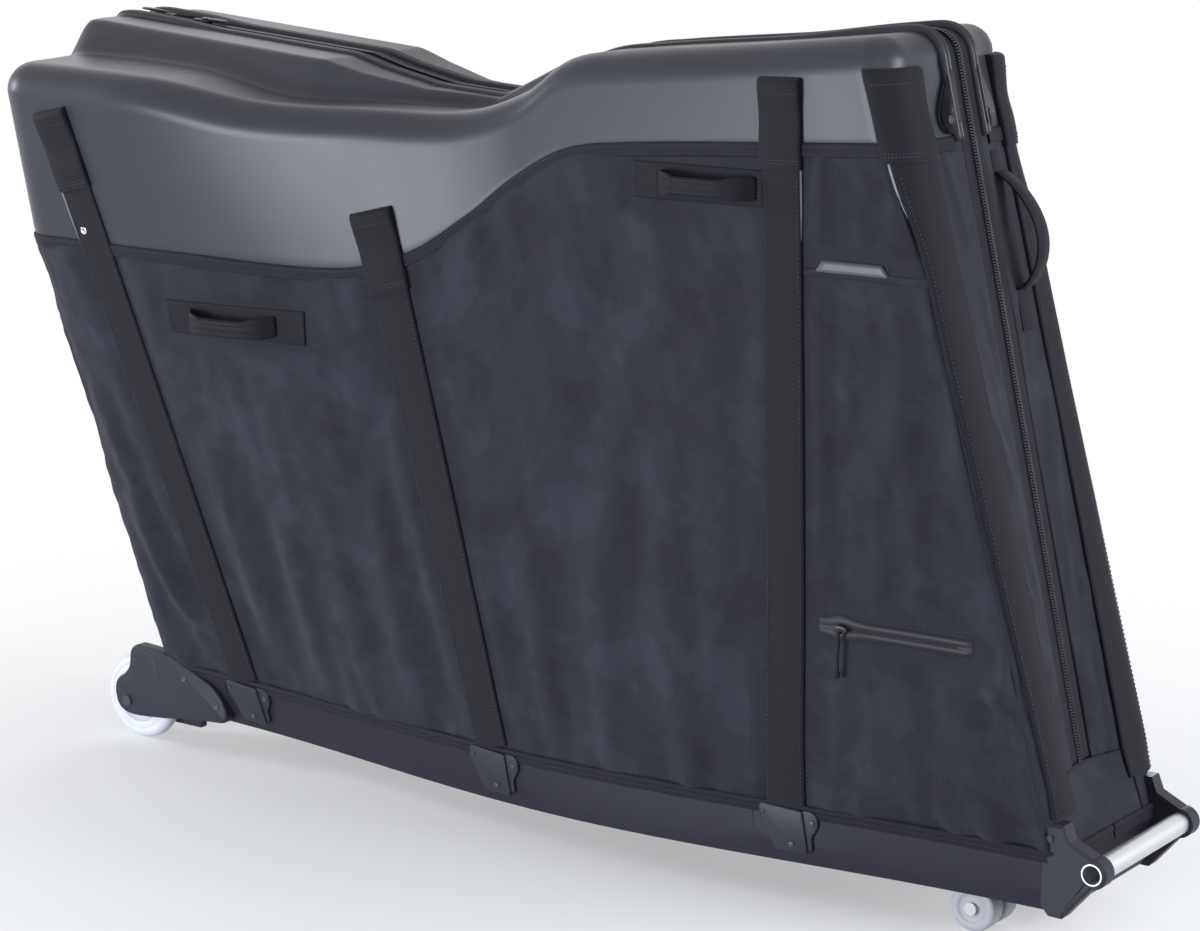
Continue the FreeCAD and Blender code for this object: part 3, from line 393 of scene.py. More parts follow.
def round_edges(piece, width):
    """Rounds a hard-edged piece; CAD nodes are first welded, because the file keeps their faces apart."""
    weld = piece.modifiers.new("weld", "WELD")
    weld.merge_threshold = 1e-5
    bevel = piece.modifiers.new("round", "BEVEL")
    bevel.width, bevel.segments, bevel.limit_method = width * MM, 3, "ANGLE"
    bevel.angle_limit, bevel.use_clamp_overlap = math.radians(35.0), True
    return piece


def paint(piece, material):
    piece.data.materials.clear()
    piece.data.materials.append(material)


def dress(piece, material, slot, body=None, stands_for=()):
    paint(piece, material)
    if body:
        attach(piece, body)
    if stands_for:
        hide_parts(*stands_for)
    return piece


sides = (("right", False), ("left", True))
print("points on a ring of 8", np.round(np.degrees(circle(8))))

# %% [markdown]
# ## Finishes
# Most of the case is dark, so what tells plastic from cloth is texture and gloss: grain, weave,
# ribs and faint blotches. Procedural nodes make them at their real scale. A small class wraps a
# socket, so that shader maths reads as plain arithmetic.

# %% Shader arithmetic
class Wire:
    """An output socket that takes part in arithmetic; each step adds a Math node."""

    def __init__(self, nodes, socket):
        self.nodes, self.socket = nodes, socket

    def step(self, operation, first, second=0.0):
        return self.nodes.node("ShaderNodeMath", {"operation": operation}, {0: first, 1: second})

    def __add__(self, other):
        return self.step("ADD", self, other)

    def __mul__(self, other):
        return self.step("MULTIPLY", self, other)

    def __sub__(self, other):
        return self.step("SUBTRACT", self, other)

    def __rsub__(self, other):
        return self.step("SUBTRACT", other, self)

    __radd__, __rmul__ = __add__, __mul__

    def sine(self):
        return self.step("SINE", self)

    def either(self, other):
        return self.step("MAXIMUM", self, other)


print("arithmetic on sockets ready")

# %% Nodes and finishes
def set_stops(elements, stops):
    while len(elements) < len(stops):
        elements.new(0.5)
    for element, (place, colour) in zip(elements, stops):
        element.position, element.color = place, (*colour, 1.0)


class Nodes:
    """A node tree, with the one method that adds a node to it."""

    def __init__(self, tree):
        self.tree = tree

    def node(self, kind, settings=None, sockets=None, out=0):
        """Sets a node's settings first, then the values or links of its sockets."""
        made = self.tree.nodes.new(kind)
        for key, value in (settings or {}).items():
            if key == "stops":
                set_stops(made.color_ramp.elements, value)
            else:
                setattr(made, key, value)
        for key, value in (sockets or {}).items():
            if isinstance(value, Wire):
                self.tree.links.new(value.socket, made.inputs[key])
            else:
                made.inputs[key].default_value = value
        return Wire(self, made.outputs[out])


class Finish(Nodes):
    """A material that ends in one Principled shader."""

    def __init__(self, name, **constants):
        self.material = bpy.data.materials.new(name)
        self.material.use_nodes = True
        super().__init__(self.material.node_tree)
        self.shader = self.tree.nodes["Principled BSDF"]
        for socket, value in constants.items():
            title = socket.replace("_", " ").title().replace("Ior", "IOR")
            self.shader.inputs[title].default_value = value

    def feed(self, **wires):
        for socket, wire in wires.items():
            self.tree.links.new(wire.socket, self.shader.inputs[socket.replace("_", " ")])
        return self

    def flat(self):
        return self.node("ShaderNodeUVMap", {"uv_map": "flat"})

    def place(self):
        return self.node("ShaderNodeTexCoord", out=3)

    def noise(self, vector, scale, detail=3.0, roughness=0.5):
        return self.node("ShaderNodeTexNoise", None,
                         {"Vector": vector, "Scale": scale, "Detail": detail, "Roughness": roughness})

    def ramp(self, factor, stops):
        return self.node("ShaderNodeValToRGB", {"stops": stops}, {"Fac": factor})

    def bump(self, height, depth):
        sockets = {"Height": height, "Strength": 1.0, "Distance": depth * MM}
        return self.node("ShaderNodeBump", None, sockets)

    def split(self, vector):
        return [self.node("ShaderNodeSeparateXYZ", None, {"Vector": vector}, out=i) for i in (0, 1)]


def grey(level, blue=1.3):
    return (level, level * 1.02, level * blue)


print("a dark grey", np.round(grey(0.036), 4))


# %% [markdown]
# ### Moulded plastic
# The roof shell is vacuum-formed sheet: satin, with the finest pebble and a slight unevenness in
# its gloss. Fittings on the base are injection moulded, duller and more grained. Coated metal, film
# and the reflector are near enough to plastic to share its nodes.

# %% Plastics
def moulded(name, tone, gloss, grain, depth, blue=1.3):
    spread = 0.08
    f = Finish(name, specular_ior_level=0.3)
    place = f.place()
    cloud = f.noise(place, 9.0, 4.0)
    stops = [(0.3, grey(tone * 0.92, blue)), (0.7, grey(tone * 1.08, blue))]
    f.feed(Base_Color=f.ramp(cloud, stops), Roughness=cloud * spread + (gloss - spread / 2),
           Normal=f.bump(f.noise(place, grain, 2.0), depth))
    return f.material


shell_plastic = moulded("shell_plastic", 0.036, 0.37, 1500.0, 0.05)
rim_plastic = moulded("rim_plastic", 0.036, 0.34, 1500.0, 0.05)
fitting_plastic = moulded("fitting_plastic", 0.02, 0.5, 900.0, 0.12, 1.55)
base_plastic = moulded("base_plastic", 0.0095, 0.54, 1100.0, 0.08, 1.9)
hub_plastic = moulded("hub_plastic", 0.55, 0.42, 700.0, 0.06, 1.08)
roller_plastic = moulded("roller_plastic", 0.44, 0.45, 700.0, 0.08, 1.08)
tyre_plastic = moulded("tyre_plastic", 0.68, 0.38, 500.0, 0.08, 1.07)
stay_plastic = moulded("stay_plastic", 0.2, 0.4, 600.0, 0.05, 1.1)
zip_metal = moulded("zip_metal", 0.03, 0.34, 1200.0, 0.03)
zip_coil = moulded("zip_coil", 0.022, 0.3, 1200.0, 0.03)
dark_steel = moulded("dark_steel", 0.05, 0.32, 900.0, 0.03)
welt_film = moulded("welt_film", 0.02, 0.54, 1800.0, 0.04)
reflector = moulded("reflector", 0.075, 0.35, 2600.0, 0.05, 1.15)
print("plastics:", len(bpy.data.materials))

# %% [markdown]
# ### Fabric and webbing
# The wall fabric is a coated plain weave with a faint tone-on-tone mottle. A weave is two crossed
# waves; under it broad noise gives the mottle, and finer noise crumples the coat. Webbing shows
# ribs across its width instead.

# %% Weaves
def woven(name, tone, pitch, mottle):
    rough, depth, blue = 0.72, 0.16, 1.5
    f = Finish(name, specular_ior_level=0.2, sheen_weight=0.05, sheen_roughness=0.5)
    flat = f.flat()
    u, v = f.split(flat)
    turns = 2 * math.pi / (pitch * MM)
    weave = (u * turns).sine() * (v * turns).sine()
    patch = f.noise(flat, 13.0, 6.0, 0.6)
    fine = f.noise(flat, 420.0, 2.0)
    crumple = f.noise(flat, 34.0, 5.0, 0.62)
    low, high = (grey(tone * k, blue) for k in (1 - mottle, 1 + mottle))
    stops = [(0.4, low), (0.445, grey(tone, blue)), (0.55, grey(tone, blue)), (0.585, high),
             (0.7, grey(tone * (1 + mottle * 1.5), 1.45))]
    f.feed(Base_Color=f.ramp(patch + fine * 0.06 - 0.03, stops),
           Roughness=fine * 0.1 + patch * 0.12 + (rough - 0.1),
           Normal=f.bump(weave * 0.5 + fine * 0.9 + crumple * 7.0, depth))
    return f.material


def ribbed(name, tone, pitch):
    rough, depth, blue = 0.66, 0.2, 1.45
    f = Finish(name, specular_ior_level=0.17, sheen_weight=0.025, sheen_roughness=0.5)
    flat = f.flat()
    u, v = f.split(flat)
    turns = 2 * math.pi / (pitch * MM)
    rib = (v * turns).sine()
    twill = ((u + v) * (turns * 0.5)).sine()
    fine = f.noise(flat, 300.0, 3.0)
    stops = [(0.3, grey(tone * 0.85, blue)), (0.7, grey(tone * 1.2, blue))]
    f.feed(Base_Color=f.ramp(fine, stops), Roughness=fine * 0.16 + (rough - 0.08),
           Normal=f.bump(rib * 0.4 + twill * 0.3 + fine * 0.6, depth))
    return f.material


wall_fabric = woven("wall_fabric", 0.019, 1.1, 0.28)
webbing = ribbed("webbing", 0.009, 1.8)
tape_weave = ribbed("tape_weave", 0.013, 1.4)
thread = ribbed("thread", 0.075, 1.0)
cord_braid = ribbed("cord_braid", 0.014, 1.6)
print("weaves:", wall_fabric.name, webbing.name)

# %% [markdown]
# ### Metals
# The tow tube is brushed round its girth and the rail along its length; the axles are plain steel.
# Brushing is noise stretched along one direction.

# %% Metals
def brushed(name, tone, gloss, stretch):
    f = Finish(name, metallic=1.0)
    stretched = f.node("ShaderNodeVectorMath", {"operation": "MULTIPLY"}, {0: f.place(), 1: stretch})
    lines = f.noise(stretched, 1.0, 3.0)
    stops = [(0.2, grey(tone * 0.94, 1.04)), (0.8, grey(tone * 1.04, 1.04))]
    f.feed(Base_Color=f.ramp(lines, stops), Roughness=lines * 0.16 + (gloss - 0.08),
           Normal=f.bump(lines, 0.02))
    return f.material


tube_metal = brushed("tube_metal", 0.66, 0.42, (60.0, 2200.0, 60.0))
rail_metal = brushed("rail_metal", 0.42, 0.42, (40.0, 1600.0, 1600.0))
steel = brushed("steel", 0.6, 0.3, (900.0, 900.0, 900.0))
print("metals:", tube_metal.name)

# %% [markdown]
# ## The roof shell
# Each half is one moulding: a wall that rises from the fabric's edge, a round shoulder, and a roof
# with a raised bar along the zip. A grid with a column for every few millimetres of the walk
# follows all three and stops at the rim.

# %% Shell halves
rim_share = rim_half / inner_half
shell_columns = walk((rim_share, 1, 8), (1, 2, 34), (2, 3, 16), (3, 4, 230), (4, 5, 18), (5, 6, 5),
                     (6, 7 - rim_share, 9))
wall_rows, bend_rows, roof_rows = 26, 10, 46
shell_overlap, tuck_depth, tuck_height, shell_thickness = 5.0, 1.6, 9.0, 3.0


def wall_top(c):
    """Height at which the shoulder starts on each column, in steps because x moves with height."""
    z = np.full_like(c, width_z)
    for _ in range(10):
        z = shelf(wall_xy(c, z)[0]) - shoulder
    return z


def fabric_top(c):
    """Height of the fabric's upper edge on each column, in steps too."""
    z = np.full_like(c, 700.0)
    for _ in range(25):
        z = lerp(z, wave(wall_xy(c, z)[0]), 0.7)
    return z


def roof_target(c):
    """Where each column would meet the middle of the roof."""
    rear, front, run = -600.0, 382.0, 40.0
    marks = [rear, rear + run, rear + 2 * run, front - 2 * run, front - run, front]
    return np.interp(c, [0, 2, 3, 4, 5, 7], marks)


def shoulder_turn(count):
    return np.linspace(0, math.pi / 2, count)[1:]


def shoulder_height(x, out, turn):
    """Height on the shoulder, which carries the bar's rise over from the roof."""
    round_part = shelf(x) - shoulder * (1 - np.sin(turn))
    return round_part + np.sin(turn) ** 2 * (roof_height(x, out) - shelf(x))


def shell_points(c):
    top, low = wall_top(c), fabric_top(c) - shell_overlap
    z = lerp(low, top, np.linspace(0, 1, wall_rows)[:, None])
    lower = wall(c[None, :], z, -tuck_depth * (1 - ease((z - low) / tuck_height)))
    here = wall(c, top)
    inward = here - wall(c, top, 1.0)
    inward[:, 2] = 0
    turn = shoulder_turn(bend_rows)[:, None]
    bend = here[None] + unit(inward)[None] * (shoulder * (1 - np.cos(turn)))[..., None]
    bend[..., 2] = shoulder_height(bend[..., 0], -bend[..., 1], turn)
    edge_x, edge_y = bend[-1, :, 0], bend[-1, :, 1]
    reach = np.clip(1 - rim_half / np.maximum(-edge_y, rim_half + 1e-3), 1e-3, 1)
    share = np.linspace(0, 1, roof_rows)[1:, None] * reach
    x, y = lerp(edge_x, roof_target(c), share), edge_y * (1 - share)
    return np.concatenate([lower, bend, np.stack([x, y, roof_height(x, -y)], -1)])


for side, left in sides:
    shell = Mesh().grid(shell_points(shell_columns)).build(side + "_roof_shell", left)
    thicken(dress(shell, shell_plastic, "shell", side + "_side", (side + "_shell",)), shell_thickness)
print("shell points", len(shell.data.vertices))

# %% [markdown]
# ## Rims and zip
# A rim stands along the zip on both halves, with two beads pressed into it, and ends in a screwed
# tab at the nose. Sweeping one small section along the roof's own profile keeps it tight on the
# shell. The zip tape and its teeth follow the same profile, a little sunk.

# %% The profile that rim and zip follow
column_points, bend_points, roof_points, smoothings = 60, 14, 400, 6


def profile(out, front_z, rear_z, step):
    """Points (x, z) up the front, over the roof and down the rear, at a distance from the middle."""
    def column(c, low):
        z = np.linspace(low, wall_top(np.array([c]))[0], column_points)
        return np.stack([wall_xy(c, z)[0], z], -1)

    front, rear = column(7 - out / inner_half, front_z), column(out / inner_half, rear_z)
    turn = shoulder_turn(bend_points)
    bends = []
    for end, sign in ((front, -1), (rear, 1)):
        x = end[-1, 0] + sign * shoulder * (1 - np.cos(turn))
        bends.append(np.stack([x, shoulder_height(x, out, turn)], -1))
    x = np.linspace(bends[0][-1, 0], bends[1][-1, 0], roof_points)[1:-1]
    over = np.stack([x, roof_height(x, out)], -1)
    run = np.concatenate([front, bends[0], over, bends[1][::-1], rear[::-1]])
    for _ in range(smoothings):
        run[1:-1] = (run[:-2] + 2 * run[1:-1] + run[2:]) / 4
    gone = travelled(run)
    places = np.linspace(0, gone[-1], int(gone[-1] / step) + 1)
    even = np.stack([np.interp(places, gone, run[:, i]) for i in (0, 1)], -1)
    along = unit(np.gradient(even, axis=0))
    return even, along, np.stack([along[:, 1], -along[:, 0]], -1)


def sweep(run, normal, section):
    """Sweeps (out, height) points along a profile; the height may change along it."""
    section = np.asarray(section, float)
    if section.ndim == 2:
        section = np.broadcast_to(section, (len(run),) + section.shape)
    flat = run[:, None, :] + normal[:, None, :] * section[..., 1:]
    return np.stack([flat[..., 0], -section[..., 0], flat[..., 1]], -1)


print("zip's way", round(travelled(profile(0.0, zip_foot_z, zip_foot_z, 20.0)[0])[-1]), "mm")

# %% Rims
rim_middle, rim_step, rim_root = 26.0, 4.0, -3.0
rim_ends = fabric_top(np.array([7 - rim_middle / inner_half, rim_middle / inner_half])) - 4.0
rim_run, _, rim_normal = profile(rim_middle, *rim_ends, rim_step)
nose = ease((rim_run[:, 0] - 250.0) / 120.0)
tail = ease((-470.0 - rim_run[:, 0]) / 90.0)
proud = 3.6 + 3.2 * np.maximum(nose, tail)
bead = [(33.2, -0.4), (32.6, 0.45), (31.2, 0.82), (29.4, 1.0), (27.8, 0.82), (26.8, 0.6), (25.8, 0.6),
        (24.8, 0.84), (23.2, 1.0), (21.6, 0.85), (20.5, 0.45), (20.2, -0.4)]
bead_out, bead_height = np.array(bead).T
rim_section = np.full((len(proud), len(bead) + 2, 2), rim_root)
rim_section[..., 0] = [*bead_out, 20.4, 33.0]
rim_section[:, :-2, 1] = proud[:, None] * bead_height
for side, left in sides:
    rim = Mesh().tube(sweep(rim_run, rim_normal, rim_section)[:, ::-1]).build(side + "_roof_rim", left)
    dress(rim, rim_plastic, "rim", side + "_side", (side + "_rim",))
print("rim length", round(travelled(rim_run)[-1]), "mm")

# %% Zip tapes and teeth
tape_run, _, tape_normal = profile(10.0, zip_foot_z + 1.0, zip_foot_z + 1.0, 5.0)
tape_section = [(20.4, -1.6), (19.6, -0.7), (17.5, -0.35), (13.0, -0.9), (8.0, -1.0), (6.0, -0.9),
                (5.2, -0.8), (2.6, -0.7), (0.4, -0.7), (0.4, -2.6), (10.0, -3.0), (20.4, -2.8)]
tooth_run, tooth_along, tooth_normal = profile(2.0, zip_foot_z + 2.0, zip_foot_z + 2.0, 3.0)
tooth = np.array([(x, y, z) for x in (-0.85, 0.85) for y in (0.35, 4.8) for z in (-1.2, 2.0)])
tooth[:, 2] -= 0.7 * ((tooth[:, 2] > 0) & (tooth[:, 1] > 1))
tooth_faces = [(0, 1, 3, 2), (4, 6, 7, 5), (0, 4, 5, 1), (2, 3, 7, 6), (1, 5, 7, 3), (0, 2, 6, 4)]
tooth_offset = 0.75
for side, left in sides:
    tape = Mesh().tube(sweep(tape_run, tape_normal, tape_section)[:, ::-1]).build(side + "_zip_band", left)
    dress(tape, tape_weave, "zip_tape", side + "_side", (side + "_zip_tape",))
    teeth = Mesh()
    shift = tooth[:, :1] + (tooth_offset if left else -tooth_offset)
    for at, along, normal in list(zip(tooth_run, tooth_along, tooth_normal))[int(left):]:
        flat = at + shift * along + tooth[:, 2:] * normal
        teeth.add(np.stack([flat[:, 0], -tooth[:, 1], flat[:, 1]], -1), tooth_faces)
    row = teeth.build(side + "_zip_teeth", left)
    shade(row.data, False)
    dress(row, zip_coil, "zip_tape", side + "_side")
print("teeth in a row", len(tooth_run))

# %% [markdown]
# ## Fabric walls
# The fabric hangs from the shell's edge to the base seam and is tight only along the stays, so soft
# folds run between them, gather at the seam and pull at the front corner. The folds are laid into
# the grid as moves along the wall's normal: broad waves that follow the lean of the straps, puckers
# near the seams, and a few listed creases.

# %% Where the straps run, and the folds between them
def at_body(share):
    return share * body_length - rear_centre


side_straps = [((at_body(a), seam_z), (at_body(b), case_height * t))
               for a, b, t in ((0.216, 0.105, 0.858), (0.504, 0.3945, 0.759), (0.7737, 0.757, 0.944))]
corner_low, corner_high = (79.0, 138.0), (90.0, 836.0)
patch_rear, patch_half = 88, 18
handle_places = {"rear": (at_body(0.266), case_height * 0.609, patch_rear),
                 "front": (at_body(0.696), case_height * 0.819, 62)}
sewn = [(362, 532, 280, 306), (342, 488, 634, 655)]
sewn += [(x - patch_rear, x + ahead, z - 20, z + 20) for x, z, ahead in handle_places.values()]
# Each crease runs from one place (x, z) to another, with a width and a rise.
creases = [((560, 258), (470, 330), 16, 4.2), ((575, 240), (500, 262), 13, 3.4),
           ((566, 252), (590, 330), 12, 3.0), ((585, 215), (520, 205), 14, 2.4),
           ((430, 150), (545, 122), 18, 2.6), ((-60, 180), (-120, 420), 22, 3.0),
           ((-110, 130), (-165, 360), 18, 2.6), ((60, 150), (28, 330), 20, 2.4),
           ((-330, 150), (-380, 380), 20, 2.8), ((-250, 135), (-290, 300), 17, 2.4),
           ((-440, 130), (-520, 300), 15, 3.0), ((-470, 190), (-545, 420), 15, 2.6),
           ((210, 140), (190, 420), 24, 2.2), ((120, 300), (150, 560), 24, 2.0),
           ((410, 420), (470, 560), 22, 2.0)]
fold_scale, fold_rest, pucker_reach = 2.7, 2.8, 55
sewn_reach, strap_cover, strap_reach = 24, 16, 17


def noise_at(u, v, seed):
    u, v = np.broadcast_arrays(u, v)
    found = [noise.noise(Vector((a, b, seed))) for a, b in zip(u.ravel(), v.ravel())]
    return np.array(found).reshape(u.shape)


def distance(x, z, a, b):
    """Distance from the stretch between two places, and the share of it that lies nearest."""
    a, b = np.array(a, float), np.array(b, float)
    d = b - a
    t = np.clip(((x - a[0]) * d[0] + (z - a[1]) * d[1]) / (d @ d), 0, 1)
    return np.hypot(x - a[0] - t * d[0], z - a[1] - t * d[1]), t


def bell(d, width):
    return np.exp(-(d / width) ** 2)


def folds(x, z, top):
    """Height of the folds at places (x, z) of the side, quiet under the straps and at the edges."""
    lean = np.interp(x, [-560, -390, -16, 335, 560], [-0.28, -0.22, -0.25, -0.03, -0.24])
    q = x - lean * (z - seam_z)
    up, below = np.maximum(z - seam_z, 0), np.maximum(top - z, 0)

    def waves(rise, wide, tall, seed):
        return rise * noise_at(q / wide, z / tall, seed)

    height = waves(3.0, 74, 430, 1.0) + waves(1.5, 33, 210, 4.0)
    height += waves(2.6, 24, 95, 7.0) * np.exp(-up / pucker_reach)
    height += waves(1.6, 27, 80, 9.0) * np.exp(-below / pucker_reach)
    ridged = (1 - np.abs(noise_at(q / 88 + 3, z / 260, 12.0))) ** 7
    height += ridged * waves(2.2, 150, 200, 15.0) + 0.45 * noise_at(x / 15, z / 15, 18.0)
    for a, b, width, rise in creases:
        d, t = distance(x, z, a, b)
        height += rise * bell(d, width) * np.sin(np.pi * (0.12 + 0.76 * t))
        height -= 0.4 * rise * bell(d - 1.6 * width, width)
    quiet = np.ones_like(height)
    for x0, x1, z0, z1 in sewn:
        beside, over = np.maximum(x0 - x, x - x1), np.maximum(z0 - z, z - z1)
        quiet *= ease(np.hypot(np.maximum(beside, 0), np.maximum(over, 0)) / sewn_reach)
    for a, b in side_straps:
        quiet *= 1 - bell(np.maximum(distance(x, z, a, b)[0] - strap_cover, 0), strap_reach)
    return (fold_scale * height + fold_rest) * quiet * ease(below / 22) * ease(up / 10 + 0.25)


print("fold at one place", np.round(folds(*np.array([[100.0], [300.0], [740.0]])), 2))

# %% [markdown]
# The fabric is cut in panels: one long side, a narrow front and a rear. Each is a sheet laid on the
# form with its folds, which stand it a little off the form. At the base seam the real hem bends
# between the folding half and the base; the sheet here keeps to the wall.

# %% Side, front and rear panels
zip_share, hem_top = zip_half / inner_half, zip_foot_z + 0.5
panel_spans = {"side": walk((2.6, 3, 12), (3, 4, 210), (4, 4.3, 6)),
               "front": walk((4.3, 5, 14), (5, 6, 8), (6, 7 - zip_share, 16)),
               "rear": walk((zip_share, 1, 16), (1, 2, 26), (2, 2.6, 12))}
panel_cut = {"side": (1.2, 0.66), "front": (0.11, 0.68), "rear": (0.22, 0.53)}
hinge_out, fabric_depth = 0.153, 3.2


def fabric_panel(c):
    """A panel with a row of points at hem_top; below that, fixed panels take its place at the zip."""
    top = fabric_top(c)
    z = np.concatenate([lerp(seam_z + 1.0, hem_top, np.linspace(0, 1, 13)[:, None]) * np.ones_like(top),
                        lerp(hem_top, top, np.linspace(0, 1, 96)[1:, None])])
    columns = np.broadcast_to(c, z.shape)
    x, out = wall_xy(columns, z)
    # Round the corners the folds' own x runs on along the end walls.
    plan = np.where(columns < 2.5, x - 1.4 * (200 - out), x)
    plan = np.where(columns > 4.6, x + 1.6 * out - 180.0, plan)
    lift = folds(plan, z, top)
    ends = np.clip((out - zip_half) / 14, 0, 1)
    strap_out = np.interp(z, *np.transpose([corner_low, corner_high])[::-1])
    front_share = np.where(np.abs(out - strap_out) < 30, 0.12, 0.55)
    lift = np.where(columns > 4.2, lift * front_share * ends, lift)
    lift = np.where(columns < 2.3, lift * 0.8 * ends, lift)
    middle, inner = ((a[:-1, :-1] + a[1:, 1:]) / 2 for a in (z, columns))
    keep = ~((middle < hem_top) & ((inner > 6) | (inner < 1)))
    return Mesh().grid(wall(columns, z, lift - 0.4), keep=keep)


def mesh_area(piece):
    return sum(face.area for face in piece.data.polygons)


for side, left in sides:
    for part, columns in panel_spans.items():
        piece = fabric_panel(columns).build(side + "_" + part + "_fabric", left)
        dress(piece, wall_fabric, "fabric", None, ("%s_%s_panel" % (side, part),))
        area = mesh_area(piece)
        wide, tall = panel_cut[part]
        thicken(piece, fabric_depth)
        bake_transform(piece)
        wide = max(wide, area / tall * 1.02)
        print(piece.name, "area", round(area, 3), "square metres")

# %% Fixed panels below the zip's ends
def end_panel(name, front):
    out = np.linspace(-66, 66, 45)
    z = np.linspace(seam_z, zip_foot_z, 16)[:, None]
    c = np.abs(out) / inner_half
    lift = 1.6 * noise_at(out[None, :] / 30, z / 40, 30.0 if front else 40.0)
    points = wall(7 - c if front else c, z, lift - 0.5)
    points[..., 1] *= -np.sign(np.round(out, 6))
    piece = Mesh().grid(points if front else points[:, ::-1]).build(name + "_fabric")
    dress(piece, wall_fabric, "fabric", "base", (name,))
    thicken(piece, 3.0)


end_panel("front_lower_panel", True)
end_panel("rear_lower_panel", False)
print("end panels made")

# %% [markdown]
# ## Straps, caps and binding
# A flat stay slides in a webbing sleeve from its holder on the base up to a webbing cap on the
# shell. Straps could be curves with a bevel, but a section carried along the wall keeps their edges
# flat on the fabric. Stitches are real little beads of thread in rows, because they catch the light
# along every edge.

# %% Places on the wall, and strips over them
def on_side(x, z, lift):
    return wall(side_c(x, z), z, lift)


def on_front(out, z, lift):
    return wall(front_c(out, z), z, lift)


def strip_places(a, b, width, rows, shares):
    """Places (u, z) of a straight strip, rows along it and shares of its half-width across."""
    a, b = np.array(a, float), np.array(b, float)
    d = unit(b - a)
    across = np.array([d[1], -d[0]])
    t = np.linspace(0, 1, rows)[:, None, None]
    return a + (b - a) * t + across * (np.asarray(shares)[None, :, None] * width / 2)


def beyond(a, b, past):
    return np.array(b, float) + unit(np.subtract(b, a)) * past


def strip_flat(shares, width, along):
    return np.stack(np.broadcast_arrays(shares[None, :] * width / 2, along[:, None]), -1)


print("side straps", [round(math.dist(a, b)) for a, b in side_straps], "mm")

# %% Sleeve, stitch, cap and stay makers
strap_width, strap_rows = 42.0, 70
strap_shares = np.array([-1.0, -1.0, -0.96, -0.8, -0.4, 0.0, 0.4, 0.8, 0.96, 1.0, 1.0])
strap_lifts = np.array([-0.4, 2.4, 3.2, 3.6, 4.2, 4.4, 4.2, 3.6, 3.2, 2.4, -0.4])
cap_width, cap_length, cap_rows, cap_lip = 46.0, 88.0, 34, 0.93
cap_shares = np.array([-1.0, -1.0, -0.97, -0.85, -0.4, 0.0, 0.4, 0.85, 0.97, 1.0, 1.0])
cap_crown = np.array([0.02, 0.55, 0.8, 0.9, 1.0, 1.03, 1.0, 0.9, 0.8, 0.55, 0.02])
cap_stand, cap_swell, cap_ripple, cap_hem = 6.4, 3.4, 1.2, 0.6
stay_width, stay_rows, stay_lifts = 32.0, 50, np.array([2.7, 2.7, 0.8, 0.8])
bead_faces = [(0, 2, 1), (0, 3, 2), (0, 4, 3), (0, 1, 4), (5, 1, 2), (5, 2, 3), (5, 3, 4), (5, 4, 1)]
close_stitch, grip_stitch, tape_stitch, seam_stitch = (3.4, 2.4), (3.6, 2.5), (3.8, 2.6), (4.0, 2.8)
fine_thread = 0.36


def strap(place, a, b):
    """A webbing sleeve over the places of a strip; place(u, z, lift) puts it on its wall."""
    u, z = np.moveaxis(strip_places(a, b, strap_width, strap_rows, strap_shares), -1, 0)
    sway = 0.6 * noise_at(np.linspace(0, 9, strap_rows), np.full(strap_rows, 0.3), a[0])[:, None]
    along = np.linspace(0, np.hypot(*np.subtract(b, a)), strap_rows)
    points = place(u, z, strap_lifts + sway * (strap_lifts > 0))
    return Mesh().grid(points, strip_flat(strap_shares, strap_width, along))


def stitches(mesh, points, pitch=4.6, size=3.2, thick=0.56):
    """A row of thread beads along a run of points."""
    points = np.asarray(points, float)
    gone = travelled(points)
    for s in np.arange(pitch / 2, gone[-1] - pitch / 2, pitch):
        a, b = (np.array([np.interp(at, gone, line) for line in points.T])
                for at in (s - size / 2, s + size / 2))
        d, m = unit(b - a), (a + b) / 2
        u = unit(np.cross(d, (0, 0, 1.0) if abs(d[2]) < 0.8 else (0, 1.0, 0))) * thick
        v = np.cross(d, u)
        mesh.add([a, m + u, m + v, m - u, m - v, b], bead_faces)


def line_on(place, a, b, lift, rows=60, share=0.0):
    u, z = strip_places(a, b, strap_width, rows, [share])[:, 0].T
    return place(u, z, lift)


def cap(place, a, b):
    """A webbing pocket over the head of a stay: it stands off at the top, where the stay's end fills it."""
    lip = 1 - cap_lip
    closer = 1 - lip * (1 - np.linspace(0, 1, 7)[1:]) ** 2
    t = np.concatenate([np.linspace(0, cap_lip, cap_rows - len(closer)), closer])
    spots = strip_places(beyond(a, b, -cap_length), b, cap_width, 2, cap_shares)
    u, z = np.moveaxis(lerp(spots[:1], spots[1:], t[:, None, None]), -1, 0)
    stand = cap_stand + cap_swell * ease((t - 0.45) / 0.4) + cap_ripple * np.sin(t * 7)
    closing = lerp(cap_hem, stand, np.sqrt(np.clip(1 - ((t - cap_lip) / lip) ** 2, 0, 1)))
    lift = np.where(t > cap_lip, closing, stand)[:, None] * cap_crown
    outer, inner = place(u, z, lift), place(u[0], z[0], np.maximum(lift[0] - 2.2, 0.0))
    flat = strip_flat(cap_shares, cap_width, t * cap_length)
    mesh = Mesh().grid(outer, flat).grid(np.stack([inner, outer[0]]), flat[:2])
    return mesh, lambda k: place(u[k], z[k], lift[k] + 0.25)


def stay(place, foot, head, drift):
    """A flat strip in its sleeve, which leans to one edge towards its head."""
    spots = strip_places(foot, head, stay_width, stay_rows, [-1.0, 1.0, 1.0, -1.0])
    u, z = np.moveaxis(spots, -1, 0)
    u = u + drift * ease((np.linspace(0, 1, stay_rows) - 0.66) / 0.2)[:, None]
    return Mesh().tube(place(u, z, stay_lifts))


print("stay section", stay_width, "x", round(np.ptp(stay_lifts), 1), "mm")

